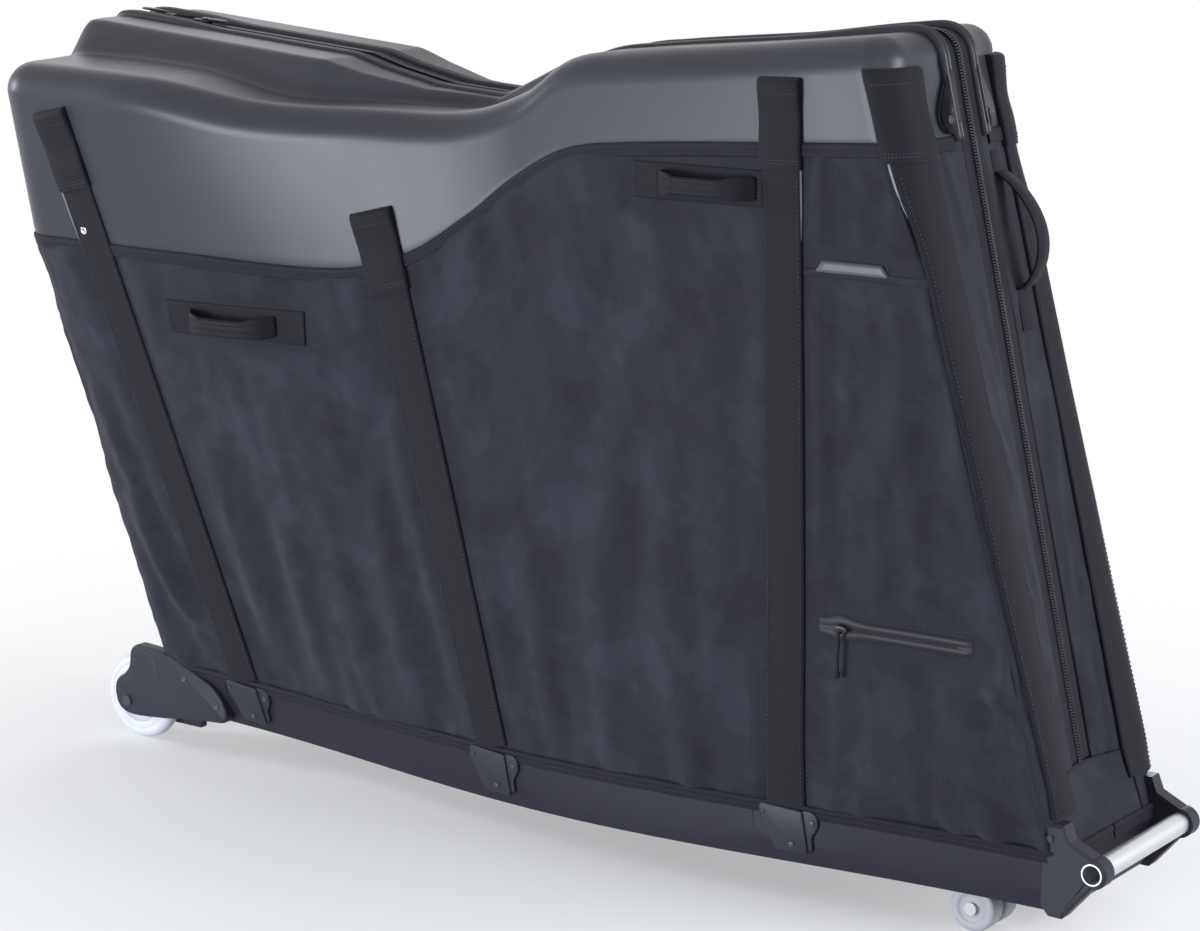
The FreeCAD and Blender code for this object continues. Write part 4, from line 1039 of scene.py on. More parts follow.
# %% Sleeves and caps on their stays
foot_lift, sleeve_stop, stitch_stop = 2.0, 44.0, 96.0
stay_drifts = (-6.6, 0.0, 6.6, 5.8)
for side, left in sides:
    sleeves, caps, stays, thread_rows = Mesh(), Mesh(), Mesh(), Mesh()
    jobs = [(on_side, beyond(b, a, -foot_lift), b) for a, b in side_straps]
    jobs.append((on_front, corner_low, corner_high))
    for (place, foot, head), drift in zip(jobs, stay_drifts):
        stays.join(stay(place, beyond(head, foot, -3.0), beyond(foot, head, -12.0), drift))
        sleeves.join(strap(place, foot, beyond(foot, head, -sleeve_stop)))
        for share in (-0.86, 0.86):
            end = beyond(foot, head, -stitch_stop)
            stitches(thread_rows, line_on(place, foot, end, 3.75, share=share))
        made, cross = cap(place, foot, head)
        caps.join(made)
        for k in (2, 3, 24):
            stitches(thread_rows, cross(k)[2:-2], *close_stitch)
    for mesh, name, nodes, finish, slot in (
            (sleeves, "_sleeves", ("_stay_sleeves",), webbing, "webbing"),
            (caps, "_caps", ("_stay_caps",), webbing, "webbing"),
            (stays, "_stay_strips", ("_stays",), stay_plastic, "stay"),
            (thread_rows, "_strap_stitches", (), thread, "webbing")):
        piece = mesh.build(side + name, left)
        dress(piece, finish, slot, side + "_side", tuple(side + n for n in nodes))
    print(side, "strap stitches", len(thread_rows.faces) // len(bead_faces))

# %% [markdown]
# The binding is a folded tape sewn over the fabric's upper edge, with a row of stitches along both
# of its edges. It runs from the rear zip round to the front one and passes under the caps. Laid as
# rows along the walk, it keeps to the edge round every corner.

# %% Binding along the fabric's edge
binding_columns = walk((0.5, 2, 40), (2, 3, 20), (3, 4, 240), (4, 5, 20), (5, 6.5, 20))
binding_shape = [(0.6, -1.2), (1.0, 0.9), (0.0, 1.9), (-3.0, 2.1), (-9.5, 2.1), (-12.0, 1.8), (-12.9, 0.8),
                 (-12.5, -1.0)]
binding_edge = fabric_top(binding_columns)


def band_on(columns, height, shape):
    """A band of rows along the walk, from (up, lift) points."""
    return np.stack([wall(columns, height + up, lift) for up, lift in shape])[::-1]


for side, left in sides:
    band = band_on(binding_columns, binding_edge, binding_shape)
    piece = Mesh().grid(band).build(side + "_edge_binding", left)
    dress(piece, tape_weave, "webbing", side + "_side", (side + "_binding",))
    rows = Mesh()
    for up in (-2.4, -10.4):
        stitches(rows, wall(binding_columns, binding_edge + up, 2.25), *tape_stitch, fine_thread)
    dress(rows.build(side + "_binding_stitches", left), thread, "webbing", side + "_side")
print("binding points", len(piece.data.vertices))

# %% [markdown]
# ## Carrying handles
# A patch is sewn flat on the fabric, and a bowed grip of folded webbing stands off it, boxed in
# with stitches at both ends. Rings along a bowed path can change from flat ends to a round middle,
# which a bevelled curve can't. The loop on the front end of the left half is a plain band on two
# tabs.

# %% Side handles
grip_path = [(-54, 2.4), (-50, 8), (-44, 16), (-36, 21.5), (-20, 23.4), (0, 23.9)]
grip_path += [(-u, n) for u, n in reversed(grip_path[:-1])]
grip_rings, grip_ends, roll_start, roll_run = 60, 18, 24, 14
grip_tall, grip_thick = (11.4, 8.4), (2.0, 4.4)
groove_depth, groove_place, groove_width = 0.9, 0.42, 0.9


def wall_frame(x, z):
    """Origin, forward, up and outward directions on the side wall."""
    here = on_side(x, z, 0.0)
    forward = unit(on_side(x + 5.0, z, 0.0) - here)
    outward = unit(np.cross(forward, on_side(x, z + 5.0, 0.0) - here))
    return here, forward, np.cross(outward, forward), outward


def bowed(points, count):
    """A smooth run through a few (u, n) points."""
    points = np.array(points, float)
    s = travelled(points)
    t = np.linspace(0, s[-1], count)
    return np.stack([smooth_curve(np.stack([s, points[:, i]], 1))(t) for i in (0, 1)], -1)


def squared(swing, power):
    """A sine or cosine with its round shoulders pushed out."""
    return np.sign(swing) * np.abs(swing) ** power


def grip(x, z):
    """Rings of a grip that is flat at its ends, and round with two grooves in the middle."""
    here, forward, up, outward = wall_frame(x, z)
    path = bowed(grip_path, grip_rings)
    along = unit(np.gradient(path, axis=0))
    roll = 1 - ease((np.abs(path[:, :1]) - roll_start) / roll_run)
    angles = circle(60)
    tall, thick = lerp(*grip_tall, roll), lerp(*grip_thick, roll)
    w = squared(np.cos(angles), 0.55) * tall
    n = squared(np.sin(angles), 0.7) * thick
    n -= groove_depth * (np.sin(angles) > 0) * bell(np.abs(w) - groove_place * tall, groove_width)
    centre = here + path[:, :1] * forward + path[:, 1:] * outward
    lift = -along[:, 1:] * forward + along[:, :1] * outward
    return centre[:, None] + lift[:, None] * n[..., None] + up * w[..., None]


def plateau(rows, cols, *levels):
    """Heights of a grid that rises through levels from its edge inwards."""
    r, c = np.mgrid[:rows, :cols]
    ring = np.minimum.reduce([r, c, rows - 1 - r, cols - 1 - c])
    return np.array(levels)[np.minimum(ring, len(levels) - 1)]


def turned_in(first, last, count):
    """Places across a patch, with its edge and its turned hem."""
    return np.concatenate([[first, first], np.linspace(first + 1.2, last - 1.2, count), [last, last]])


def patch(x0, x1, z0, z1):
    """A flat sewn patch with turned edges."""
    u, w = turned_in(x0, x1, 40), turned_in(z0, z1, 10)
    return Mesh().grid(on_side(u, w[:, None], plateau(len(w), len(u), -0.5, 1.6, 2.2)))


for side, left in sides:
    for name, (x, z, ahead) in handle_places.items():
        mesh, rows = patch(x - patch_rear, x + ahead, z - patch_half, z + patch_half), Mesh()
        rings = grip(x, z)
        mesh.tube(rings)
        rear, front = x - patch_rear + 3, x + ahead - 3
        low, high = z - patch_half + 3, z + patch_half - 3
        lines = [((rear, low), (rear, high)), ((rear, high), (x - 58, high)), ((rear, low), (x - 58, low))]
        lines += [((at, low), (at, high)) for at in (x - 60, x + 56, front)]
        for a, b in lines:
            stitches(rows, line_on(on_side, a, b, 2.5, 14), *close_stitch)
        for angle in (9, 21):
            stitches(rows, rings[grip_ends:-grip_ends, angle], *grip_stitch)
        piece = mesh.build("%s_grip_%s" % (side, name), left)
        dress(piece, webbing, "webbing", side + "_side", ("%s_handle_%s" % (side, name),))
        piece = rows.build("%s_grip_stitches_%s" % (side, name), left)
        dress(piece, thread, "webbing", side + "_side")
print("handles at", [tuple(round(v) for v in p[:2]) for p in handle_places.values()])

# %% The loop on the front end
def front_loop():
    low, high, out, half, stand = 615.0, 728.0, 44.0, 11.0, 36.0
    z = np.linspace(low, high, 40)
    bow = stand * np.sin(np.pi * np.clip((z - low) / (high - low), 0, 1)) ** 0.62
    x = wall_xy(front_c(out, z), z)[0]
    centre = np.stack([x + bow - 1.2, np.full_like(x, -out), z], -1)
    along = unit(np.gradient(centre, axis=0))
    normal = np.stack([along[:, 2], np.zeros(40), -along[:, 0]], -1)
    w = np.array([-1, -0.94, 0, 0.94, 1, 0.94, 0, -0.94]) * half
    n = np.array([0, 1.2, 1.4, 1.2, 0, -1.2, -1.4, -1.2])
    rings = centre[:, None] + normal[:, None] * n[:, None] + np.array([0, 1.0, 0]) * w[:, None]
    mesh = Mesh().tube(rings[:, ::-1])
    for z0, z1 in ((low - 40, low + 4), (high - 4, high + 20)):
        height = np.full((12, 8), 2.0)
        height[[0, -1], :] = 0.0
        height[:, [0, -1]] = 0.3
        u, v = np.linspace(out + half, out - half, 8), np.linspace(z0, z1, 12)
        mesh.grid(on_front(u, v[:, None], height))
    return mesh


loop = front_loop().build("left_front_loop", True)
dress(loop, webbing, "webbing", "left_side", ("left_end_handle",))

# %% [markdown]
# ## Side pocket and reflective tab
# The pocket is only a slit with a welted zip: a drop-shaped guard round the closed slider, a ribbed
# line to the other end, and a stitched frame round both. The fabric isn't cut for it: a thin grid on
# the wall shows all that a cut would. Above it a flat seam carries a small reflective tab.

# %% Pocket welt and tab
pocket_rear, pocket_front, pocket_z, slider_x = 366, 530, 293.0, 392.0
seam_rear, seam_front, tab_z = 342, 488, 637.0
frame_half, tooth_pitch, tooth_width = 11.5, 2.4, 1.3
pocket = Mesh()
u = walk((pocket_rear, 378, 5), (378, 518, 60), (518, pocket_front, 5))
drop = 6.0 + 5.0 * bell(u - slider_x, 15)
across = np.array([-1.0, -0.98, -0.55, -0.3, -0.12, 0.12, 0.3, 0.55, 0.98, 1.0])[:, None]
rise = np.array([-0.5, 1.5, 2.2, 1.9, 0.6, 0.6, 1.9, 2.2, 1.5, -0.5])[:, None]
ends = np.minimum(ease((u - pocket_rear) / 5), ease((pocket_front - u) / 5))
pocket.grid(on_side(u, pocket_z + across * (drop + 2.0), rise * ends - 0.2))
for x in np.arange(384, 516, tooth_pitch):
    for way in (-1, 1):
        near, far = pocket_z + way * 0.3, pocket_z + way * 2.6
        places = ((x, near), (x + tooth_width, near), (x + tooth_width, far), (x, far))
        pocket.add([on_side(*place, h) for h in (0.0, 1.5) for place in places],
                   [(0, 1, 5, 4), (1, 2, 6, 5), (2, 3, 7, 6), (3, 0, 4, 7), (4, 5, 6, 7)])
piece = pocket.build("right_pocket_welt")
dress(piece, welt_film, "fabric", "right_side", ("right_pocket",))
pocket_rows = Mesh()
low, high, front = pocket_z - frame_half, pocket_z + frame_half, pocket_front + 1
for a, b, count in (((pocket_rear, low), (pocket_front, low), 60),
                    ((pocket_rear, high), (pocket_front, high), 60), ((front, low), (front, high), 12)):
    stitches(pocket_rows, line_on(on_side, a, b, 0.9, count), *tape_stitch)
stitches(pocket_rows, line_on(on_side, (345, 641), (486, 641), 1.6), *seam_stitch)
dress(pocket_rows.build("right_pocket_stitches"), thread, "fabric", "right_side")

rows = np.linspace(0, 1, 6)[:, None]
u = lerp(np.linspace(352, 436, 24), np.linspace(362, 426, 24), rows)
tab = Mesh().grid(on_side(u, lerp(638.0, 652.0, rows), plateau(6, 24, 0.9, 2.3)))
thicken(dress(tab.build("right_reflective_tab"), reflector, "fabric", "right_side"), 0.8)
seam_shape = ((-2.5, -0.5), (-2.0, 1.0), (0.0, 2.2), (2.5, 2.2), (4.5, 1.4), (6.0, -0.4))
u = np.linspace(seam_rear, seam_front, 60)
seam = np.stack([on_side(u, tab_z + up, lift) for up, lift in seam_shape])
dress(Mesh().grid(seam).build("right_tab_seam"), wall_fabric, "fabric", "right_side")
print("pocket faces", len(piece.data.polygons))

# %% [markdown]
# The pocket's pull is a short knotted cord. A free cord is a smooth spline with a round bevel, and
# it hangs straight down from the slider.

# %% Pocket slider and its cord
def ring_points(centre, forward, up, radius, count):
    t = circle(count)[:, None]
    return centre + radius * (np.cos(t) * forward + np.sin(t) * up)


here, forward, up, outward = wall_frame(slider_x, pocket_z)
forward = unit(on_side(slider_x + 112.0, pocket_z, 0.0) - here)
outward = unit(np.cross(forward, up))
base = here + outward * 3.5
t = circle(28)
wide = (7.8 * squared(np.cos(t), 0.8))[:, None]
tall = ((4.3 - 0.9 * np.cos(t)) * np.sin(t))[:, None]
rings = [base + outward * n + forward * (wide * k) + up * (tall * k)
         for n, k in ((0.0, 0.93), (0.5, 1.0), (3.2, 1.0), (3.9, 0.9), (4.0, 0.4))]
body = Mesh().tube(np.array(rings))
bow = ((-4.5, 3.6), (-3.5, 5.6), (0, 6.4), (3.5, 5.6), (4.5, 3.6))
body.tube(np.array([ring_points(base + outward * n + forward * u, up, outward, 0.9, 8) for u, n in bow]))
piece = body.build("pocket_slider_body")
dress(piece, zip_metal, "zip_metal", "pocket_slider", ("pocket_slider",))

pull_start = base + outward * 6.4
cord_path = ((0, 0), (-12, 0.5), (-26, -0.6), (-42, 0.4))
cord_points = [pull_start + up * d + forward * s for d, s in cord_path]
curve = bpy.data.curves.new("pocket_cord", "CURVE")
curve.dimensions, curve.resolution_u = "3D", 10
curve.bevel_depth, curve.bevel_resolution = 2.0 * MM, 3
spline = curve.splines.new("NURBS")
spline.points.add(len(cord_points) - 1)
for point, at in zip(spline.points, cord_points):
    point.co = (*(at * MM), 1.0)
spline.order_u, spline.use_endpoint_u = 3, True
cord = bpy.data.objects.new("pocket_cord", curve)
bpy.context.scene.collection.objects.link(cord)
dress(cord, cord_braid, "cord", "pocket_pull", ("pocket_pull",))
knot_rows = [(-40.5, 1.9), (-41.5, 2.9), (-44, 3.4), (-46.5, 3.1), (-48, 2.2), (-48.5, 0.8)]
rings = [ring_points(pull_start + up * d, outward, forward, r, 14) for d, r in knot_rows]
knot = Mesh().tube(np.array(rings))
dress(knot.build("pocket_cord_knot"), cord_braid, "cord", "pocket_pull")
tuple(cord_points[0] * MM)
print("cord starts at", np.round(pull_start, 1))

# %% [markdown]
# ## Sliders on the main zip
# Two sliders meet at the rear of the roof. Each has a waisted body, a bridge and a long flat pull
# with a rounded grip. An outline raised in steps gives them the soft edges that a box would lack.

# %% Zip sliders and pulls
sideways = np.array([0, 1.0, 0])
body_outline = [(-12.6, 3.2), (-12, 4.6), (-8, 5.0), (-2, 4.6), (4, 5.4), (9, 6.2), (12, 5.6), (12.8, 3.6)]
body_steps = ((0.0, 0.94), (0.5, 1.0), (1.7, 1.0), (2.1, 0.94), (2.9, 0.94), (3.3, 1.0), (4.3, 1.0),
              (4.9, 0.9))
arch_path = ((-7, 4.6), (-5.5, 5.0), (0, 5.1), (5.5, 5.0), (7, 4.6))
pull_outline = [(0, 2.2), (1.0, 3.0), (8, 2.6), (11, 3.0), (14, 4.2), (30, 4.4), (33, 3.6), (34, 1.6)]
pull_steps = ((5.35, 0.95), (5.7, 1.0), (7.2, 1.0), (7.6, 0.94))
pull_middle = 17


def slider_frame(share):
    """Origin, forward and up on the zip at a share of the roof's length."""
    x = share * top_length - rear_centre
    z0, z1 = (ridge(top_share(v)) for v in (x - 5.0, x + 5.0))
    forward = unit(np.array([10.0, 0, z1 - z0]))
    up = np.array([-forward[2], 0, forward[0]])
    return np.array([x, 0, ridge(share) - 1.0]) + up * 0.3, forward, up


def lofted(outline, steps, put, centre, way):
    """Rings of a symmetrical outline, raised through (height, scale) steps about its centre."""
    x, y = np.array(outline + [(x, -y) for x, y in reversed(outline)]).T
    return np.array([put(centre + (x - centre) * k, y * k, n) for n, k in steps])[:, ::way]


for name, share, way in (("front", 0.128, 1), ("rear", 0.078, -1)):
    origin, forward, up = slider_frame(share)
    ahead = forward * way

    def put(x, y, n):
        return origin + up * n + ahead * x[:, None] + sideways * y[:, None]

    slider = Mesh().tube(lofted(body_outline, body_steps, put, 0, way))
    arch = [origin + ahead * x + up * n for x, n in arch_path]
    slider.tube(np.array([ring_points(p, sideways * 2.2, up * 0.45, 1.0, 10) for p in arch]))
    pull = Mesh().tube(lofted(pull_outline, pull_steps, put, pull_middle, way))
    for mesh, kind, node in ((slider, "_slider_body", name + "_zip_slider"),
                             (pull, "_pull_tag", name + "_zip_pull")):
        dress(mesh.build(name + kind), zip_metal, "zip_metal", node, (node,))
print("sliders made")

# %% [markdown]
# ## Wheels
# Wheels are turned parts, so each is a half-section spun about its axle: rear tyres with a round
# tread and a fine ring pressed into their side, hubs with a dished face, and smaller rollers at the
# front.

# %% Turned wheels
def turned(half, x, out, z, count):
    """Spins a half-section of (radius, across) points, and its mirror image, about an axle along Y."""
    radius, across = np.array(half + [(r, -a) for r, a in reversed(half)]).T
    t = circle(count)[:, None]
    rings = arrays(x + radius * np.cos(t), -out - across, z + radius * np.sin(t))
    rings = np.stack(rings, -1)
    return Mesh().grid(np.concatenate([rings, rings[:1]]), around=True)


tyre_half = [(30.05, 11.2), (31.0, 12.0), (37.6, 12.0), (38.2, 11.5), (39.0, 11.5), (39.6, 12.0),
             (43.5, 11.6), (46.2, 10.0), (48.2, 7.4), (49.4, 4.4), (49.95, 1.6)]
hub_half = [(4.05, 12.0), (6.2, 12.0), (6.8, 11.2), (8.6, 9.6), (14.0, 9.0), (24.0, 9.0), (27.0, 9.8),
            (29.2, 11.0), (30.0, 10.4)]
roller_half = [(4.05, 10.0), (7.4, 10.0), (8.2, 9.2), (14.5, 9.2), (15.2, 10.2), (16.4, 10.9), (21.2, 10.9),
               (23.2, 10.0), (24.2, 8.2), (24.48, 5.0), (24.5, 1.5)]
rear_axle_x, rear_wheel_out, rear_axle_z = -577.0, 76.0, 50.0
front_axle_x, front_axle_z = 524.0, 24.5
for side, left in sides:
    for name, half, finish, slot in (("tyre", tyre_half, tyre_plastic, "tyre_white"),
                                     ("hub", hub_half, hub_plastic, "hub")):
        wheel = turned(half, rear_axle_x, rear_wheel_out, rear_axle_z, 72)
        wheel = wheel.build("rear_%s_turned_%s" % (name, side), left)
        dress(wheel, finish, slot, "rear_wheel_" + side, ("rear_%s_%s" % (name, side),))
    for place, out in (("outer", 73.6), ("inner", 44.4)):
        node = "front_wheel_%s_%s" % (side, place)
        wheel = turned(roller_half, front_axle_x, out, front_axle_z, 56).build(node + "_turned", left)
        dress(wheel, roller_plastic, "roller", node, (node,))
print("wheels made")

# %% [markdown]
# ## Base and fittings
# The base tray, the front corners and brackets, the axles, the tow tube and the stand inside are
# rigid, and their CAD solids already have the right shape, so they stay, with their edges rounded
# and a finish each.

# %% Finish the CAD nodes that stay
kept = {"base_tray": (base_plastic, 1.2), "rear_axles": (dark_steel, 0.6), "front_axles": (steel, 0.6),
        "corner_screws": (dark_steel, 0.5), "tow_handle": (tube_metal, 0.3),
        "stand_rail": (rail_metal, 0.6), "fork_post": (rail_metal, 0.8), "rear_post": (rail_metal, 0.8)}
for side, left in sides:
    kept["front_corner_" + side] = (fitting_plastic, 2.6)
    kept["front_wheel_bracket_" + side] = (fitting_plastic, 1.4)
for node, (finish, width) in kept.items():
    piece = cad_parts[node]
    paint(piece, finish)
    shade(piece.data, True)
    round_edges(piece, width)
    normals = piece.modifiers.new("normals", "WEIGHTED_NORMAL")
    normals.keep_sharp = False
print("kept nodes", len(kept))

# %% [markdown]
# Arms and stay holders are moulded with soft outlines, so they are made again as plates: an outline
# with rounded corners, raised in steps that turn its edge. The arm carries a raised fairing round
# its axle.

# %% Plates with turned edges
def rounded(points, radius):
    """A closed outline, counter-clockwise, with bends for its corners."""
    p = np.array(points, float)
    t = np.linspace(0, 1, 6)[:, None]
    bends = []
    for here, a, b, r in zip(p, np.roll(p, 1, 0), np.roll(p, -1, 0), np.broadcast_to(radius, len(p))):
        start, end = (here + (q - here) * min(r / np.linalg.norm(q - here), 0.48) for q in (a, b))
        bends.append((1 - t) ** 2 * start + 2 * t * (1 - t) * here + t ** 2 * end)
    return np.concatenate(bends)


def plate(mesh, outline, put, steps):
    """Raises an outline through (height, inset) steps; put(u, w, n) places its points."""
    run = unit(np.roll(outline, -1, 0) - np.roll(outline, 1, 0))
    inward = np.stack([-run[:, 1], run[:, 0]], -1)
    return mesh.tube(np.array([put(*(outline + inward * inset).T, n) for n, inset in steps]))


def disc(mesh, u, w, radius, put, steps):
    t = circle(24)
    return plate(mesh, np.stack([u + radius * np.cos(t), w + radius * np.sin(t)], -1), put, steps)


def turned_edge(low, high, radius):
    return [(low, 0.6), (low, 0.0), (high - radius, 0.0), (high - 0.55 * radius, 0.1 * radius),
            (high - 0.15 * radius, 0.5 * radius), (high, radius)]


def screw(mesh, u, w, put, face):
    radius = 4.2
    steps = [(-1.0, 0), (0.5, 0), (0.9, 0.5), (0.9, 1.3), (0.2, 1.5), (0.1, radius - 0.4)]
    return disc(mesh, u, w, radius, put, [(face + rise, inset) for rise, inset in steps])


def from_side(x, z, out):
    return np.stack([x, np.full_like(x, -out), z], -1)


print("steps of a turned edge", len(turned_edge(0.0, 6.0, 2.0)))

# %% Rear wheel arms
arm_shape = [(-584, 35), (-566, 33), (-520, 37), (-480, 43), (-428, 47), (-424, 56), (-431, 73),
             (-446, 88), (-478, 102), (-508, 113), (-530, 117), (-564, 119), (-572, 110), (-573, 92),
             (-580, 82), (-594, 74), (-598, 60), (-594, 43)]
fairing = [(-582, 38), (-560, 36), (-534, 38), (-524, 60), (-528, 88), (-536, 112), (-562, 114),
           (-567, 106), (-568, 90), (-577, 78), (-590, 70), (-593, 58), (-590, 45)]
inner_cheek = [(-598, 18), (-503, 18), (-503, 90), (-598, 90)]
cross_wall = [(-516, 40), (-503, 40), (-503, 90), (-516, 90)]
arm_face = 106.0
for side, left in sides:
    arm, screws = Mesh(), Mesh()
    for shape, radius, edge in (
            (arm_shape, 7.0, (90.5, arm_face, 3.2)), (fairing, 8.0, (104.0, 106.4, 2.2)),
            (inner_cheek, 3.0, (53.0, 61.6, 1.4)), (cross_wall, 3.0, (53.0, 94.0, 1.4))):
        plate(arm, rounded(shape, radius), from_side, turned_edge(*edge))
    piece = arm.build("rear_arm_" + side, left)
    dress(round_edges(piece, 0.3), fitting_plastic, "fitting", "base", ("rear_wheel_arm_" + side,))
    for x, z in ((-488, 91), (-440, 66)):
        screw(screws, x, z, from_side, arm_face)
    dress(screws.build("rear_arm_screws_" + side, left), dark_steel, "steel", "base")
print("arms made")

# %% Stay holders and rivets
holder_marks = [((-422.0, -105.9, 88.7), (-391.4, -106.2, 64.4), (-361.2, -110.9, 88.7)),
                ((-46.7, -145.4, 89.6), (-16.4, -149.4, 65.3), (14.2, -148.7, 89.6)),
                ((305.4, -131.9, 89.8), (336.1, -132.2, 65.7), (365.9, -124.7, 89.8))]
holder_shape = [(-9, -21.5), (27, -22.5), (19, 21), (-24, 24), (-28, 23), (-28, 14)]
ear_shape = [(22, -21), (31, -20), (29, -5), (36, 5), (35, 17), (28, 22), (10, 20)]
holder_face, ear_face, holder_corners = 5.8, 3.0, (3, 3, 3, 2, 2, 5)
ear_mark_stand, foot_mark_stand, middle_drop = 3.8, 6.8, 9.0
rivet_places = ((9, -14, holder_face, 3.3), (29.5, 9.5, ear_face, 3.3), (-22.5, 15.5, holder_face, 1.8))
rivets = Mesh()
for side, left in sides:
    holders = Mesh()
    for marks in holder_marks:
        rear_mark, low_mark, front_mark = (np.array(m) for m in marks)
        along = unit(front_mark - rear_mark)
        face = np.cross(along, (0, 0, 1.0))
        upper = (rear_mark + front_mark) / 2 - face * ear_mark_stand
        lower = low_mark - face * foot_mark_stand
        rise = unit(upper - lower)
        face = np.cross(along, rise)
        middle = upper - rise * middle_drop

        def on_holder(u, w, n):
            return middle + along * u[:, None] + rise * w[:, None] + face * n

        for shape, corners, top, turn in ((holder_shape, holder_corners, holder_face, 1.6),
                                          (ear_shape, 5.0, ear_face, 1.2)):
            plate(holders, rounded(shape, corners), on_holder, turned_edge(-1.0, top, turn))
        heads = Mesh()
        for u, w, n, radius in rivet_places:
            steps = [(n - 0.5, 0), (n + 0.8, 0.1), (n + 1.3, 0.7), (n + 1.5, 1.5)]
            disc(heads, u, w, radius, on_holder, steps)
        rivets.join(heads, left)
    piece = holders.build("holder_plates_" + side, left)
    dress(round_edges(piece, 0.25), fitting_plastic, "fitting", "base", ("stay_holders_" + side,))
dress(rivets.build("holder_rivet_heads"), dark_steel, "rivet", "base", ("holder_rivets",))
print("holders made")

# %% [markdown]
# Small things finish the walls: a screwed tab at the front end of each rim, an eyelet on each rear
# strap, and a piped seam that covers the joint between fabric and base. The plates and bands from
# above make them too, laid on the same walls.

# %% Tabs at the ends of the rims, and an eyelet
tab_shape = [(-29, 774), (-38, 771), (-46, 777), (-48, 787), (-44, 797), (-35, 812), (-24, 830), (-25, 783)]
tab_face = 6.4
eyelet_steps = [(3.4, 0.2), (4.9, 0.2), (5.4, 1.0), (5.0, 2.0), (4.2, 2.3), (4.0, 3.6)]


def on_tab(u, w, n):
    return on_front(-u, w, n)


for side, left in sides:
    tabs, bits, eyelet = Mesh(), Mesh(), Mesh()
    plate(tabs, rounded(tab_shape, 5.0), on_tab, turned_edge(-0.5, tab_face, 2.6))
    dress(tabs.build("rim_tab_" + side, left), rim_plastic, "rim", side + "_side")
    screw(bits, -38.0, 783.0, on_tab, tab_face)
    dress(bits.build("rim_screw_" + side, left), dark_steel, "steel", side + "_side")
    disc(eyelet, -514.0, 617.0, 4.4, on_side, eyelet_steps)
    dress(eyelet.build("strap_eyelet_" + side, left), steel, "steel", side + "_side")
print("tabs made")

# %% Piping along the base seam
seam_columns = walk((0.02, 2, 60), (2, 3, 20), (3, 4, 240), (4, 5, 16), (5, 6.98, 50))
piping = [(3.2, -0.5), (3.4, 1.6), (2.4, 3.2), (0.6, 3.8), (-1.2, 3.2), (-2.2, 1.8), (-3.0, 1.3),
          (-9.5, 1.3), (-10.2, 0.7), (-10.4, -0.4)]
wobble = 0.5 * noise_at(seam_columns * 40, np.zeros_like(seam_columns), 3.0)
for side, left in sides:
    band = band_on(seam_columns, seam_z + wobble, piping)
    piece = Mesh().grid(band).build(side + "_base_piping", left)
    dress(piece, tape_weave, "fabric", "base")
    rows = Mesh()
    stitches(rows, wall(seam_columns, seam_z - 5.0, 1.5), *seam_stitch, fine_thread)
    dress(rows.build(side + "_base_stitches", left), thread, "fabric", "base")
print("piping points", len(piece.data.vertices))

# %% [markdown]
# ## Stage, light and camera
# A plain pale floor, a white surround that only the camera and mirror-like surfaces see, and big
# soft lamps. Small hard lamps would be simpler, but they would draw bright spots on the moulded
# roof. The camera has the photograph's viewing angle.

# %% Stage
floor_half = 3200.0
corners = [(x * floor_half, y * floor_half, 0) for x, y in ((-1, -1), (1, -1), (1, 1), (-1, 1))]
floor = Mesh().add(corners, [(0, 1, 2, 3)]).build("floor")
pale = Finish("pale_floor", roughness=0.8, base_color=(0.93, 0.93, 0.94, 1.0), specular_ior_level=0.2)
away = pale.node("ShaderNodeVectorMath", {"operation": "LENGTH"}, {0: pale.place()}, out=1)
pale.feed(Alpha=pale.node("ShaderNodeMapRange", {"interpolation_type": "SMOOTHSTEP"},
                          {"Value": away, "From Min": 0.25, "From Max": 1.5, "To Min": 0.7, "To Max": 0.0}))
floor.data.materials.append(pale.material)
floor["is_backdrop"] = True
print("floor", round(2 * floor_half * MM, 1), "metres wide")

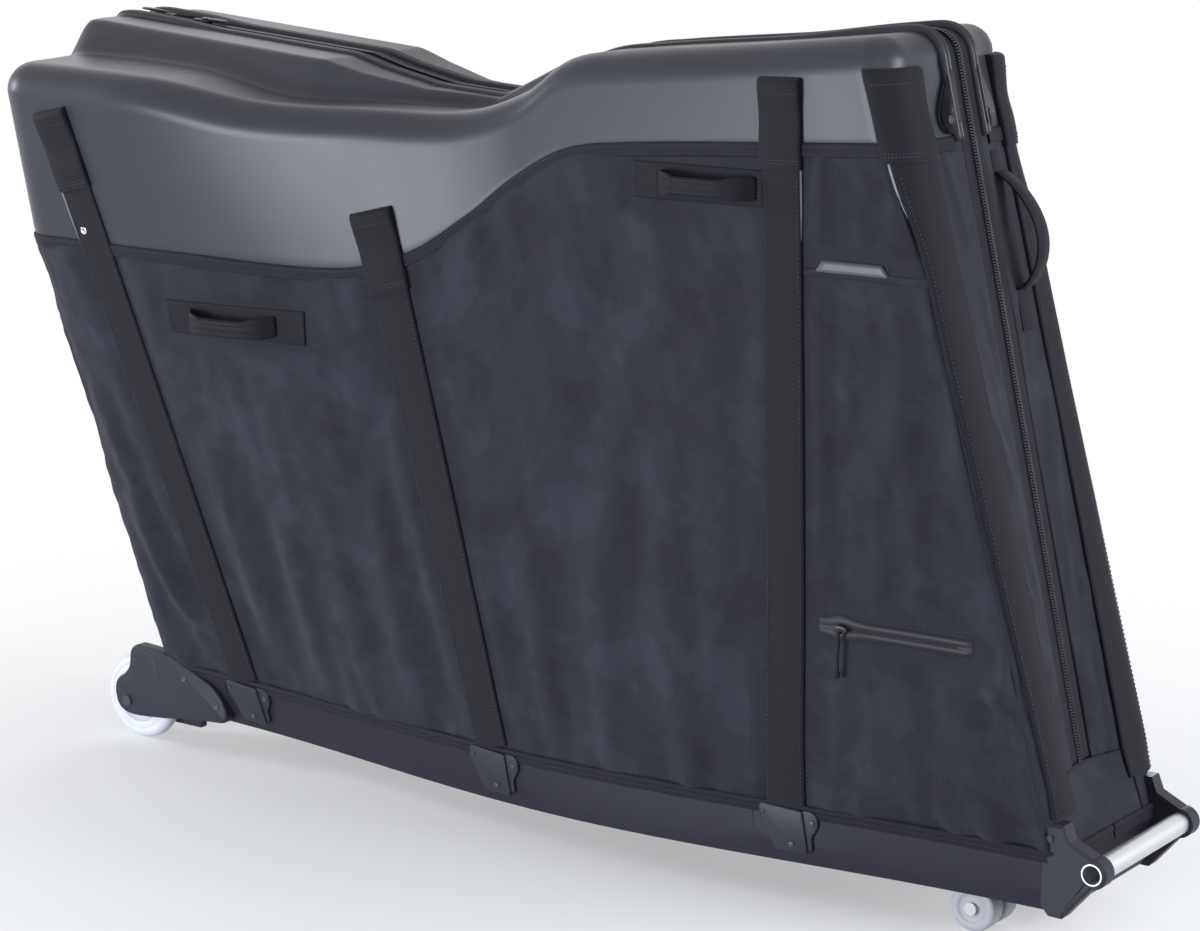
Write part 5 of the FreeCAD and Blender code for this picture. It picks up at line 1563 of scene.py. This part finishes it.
# %% Surround
cool_light = (0.9, 0.94, 1.0)
world = bpy.data.worlds.new("surround")
bpy.context.scene.world = world
world.use_nodes = True
world.node_tree.nodes.remove(world.node_tree.nodes["Background"])
sky = Nodes(world.node_tree)
plain, shown = (sky.node("ShaderNodeBackground", None, {"Color": (*colour, 1.0), "Strength": strength})
                for colour, strength in ((cool_light, 0.28), ((1.0, 1.0, 1.0), 1.0)))
to_camera, to_gloss, through = (sky.node("ShaderNodeLightPath", out="Is %s Ray" % kind)
                                for kind in ("Camera", "Glossy", "Transmission"))
seen = to_camera.either(to_gloss).either(through)
mix = sky.node("ShaderNodeMixShader", None, {0: seen, 1: plain, 2: shown})
sky.tree.links.new(mix.socket, sky.tree.nodes["World Output"].inputs[0])
print("surround nodes", len(sky.tree.nodes))

# %% Lamps and camera
def lamp(name, at, aim, size, power):
    light = bpy.data.lights.new(name, "AREA")
    light.shape, light.size, light.size_y, light.energy = "RECTANGLE", size[0], size[1], power
    light.color = cool_light
    made = bpy.data.objects.new(name, light)
    made.location = at
    made.rotation_euler = (Vector(aim) - Vector(at)).to_track_quat("-Z", "Y").to_euler()
    bpy.context.scene.collection.objects.link(made)


lamp("key", (-0.5, -2.9, 0.4), (-0.25, 0, 0.66), (1.1, 0.7), 76.0)
lamp("fill", (2.6, -2.6, 1.9), (0.4, 0, 0.6), (0.9, 0.9), 10.0)
lamp("rake", (-3.1, -1.1, 1.2), (-0.1, -0.15, 0.4), (0.5, 0.9), 40.0)
lamp("front", (3.2, 0.5, 1.3), (0.5, 0, 0.4), (1.2, 1.4), 84.0)
lamp("top", (-0.2, 0.2, 3.2), (0, 0, 0.6), (2.4, 0.8), 2.0)
lamp("back", (-2.4, 1.6, 1.9), (0, 0, 0.5), (1.4, 1.4), 5.0)
lamp("far", (-1.0, 2.9, 0.5), (-0.1, 0, 0.5), (1.5, 0.8), 64.0)

camera = bpy.data.objects.new("camera", bpy.data.cameras.new("camera"))
camera.location = (1.988, -2.755, 1.139)
camera.rotation_euler = tuple(math.radians(a) for a in (77.46, 0, 35.55))
camera.data.lens, camera.data.sensor_width = 98.4, 36.0
camera.data.clip_end = 60.0
bpy.context.scene.collection.objects.link(camera)
bpy.context.scene.camera = camera
bpy.context.scene.view_settings.view_transform = "Standard"
print("stage set")

# %% [markdown]
# ## Size
# The dressed part fills the CAD part's box, and only its folds pass it, by about a millimetre. Both
# boxes are printed, so that they can be compared.

# %% Measure the dressed part's box
low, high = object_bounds()
{"cad": [list(cad_low), list(cad_high)], "visual": [list(low), list(high)]}
print("visual box", [round(v, 4) for v in low], [round(v, 4) for v in high])
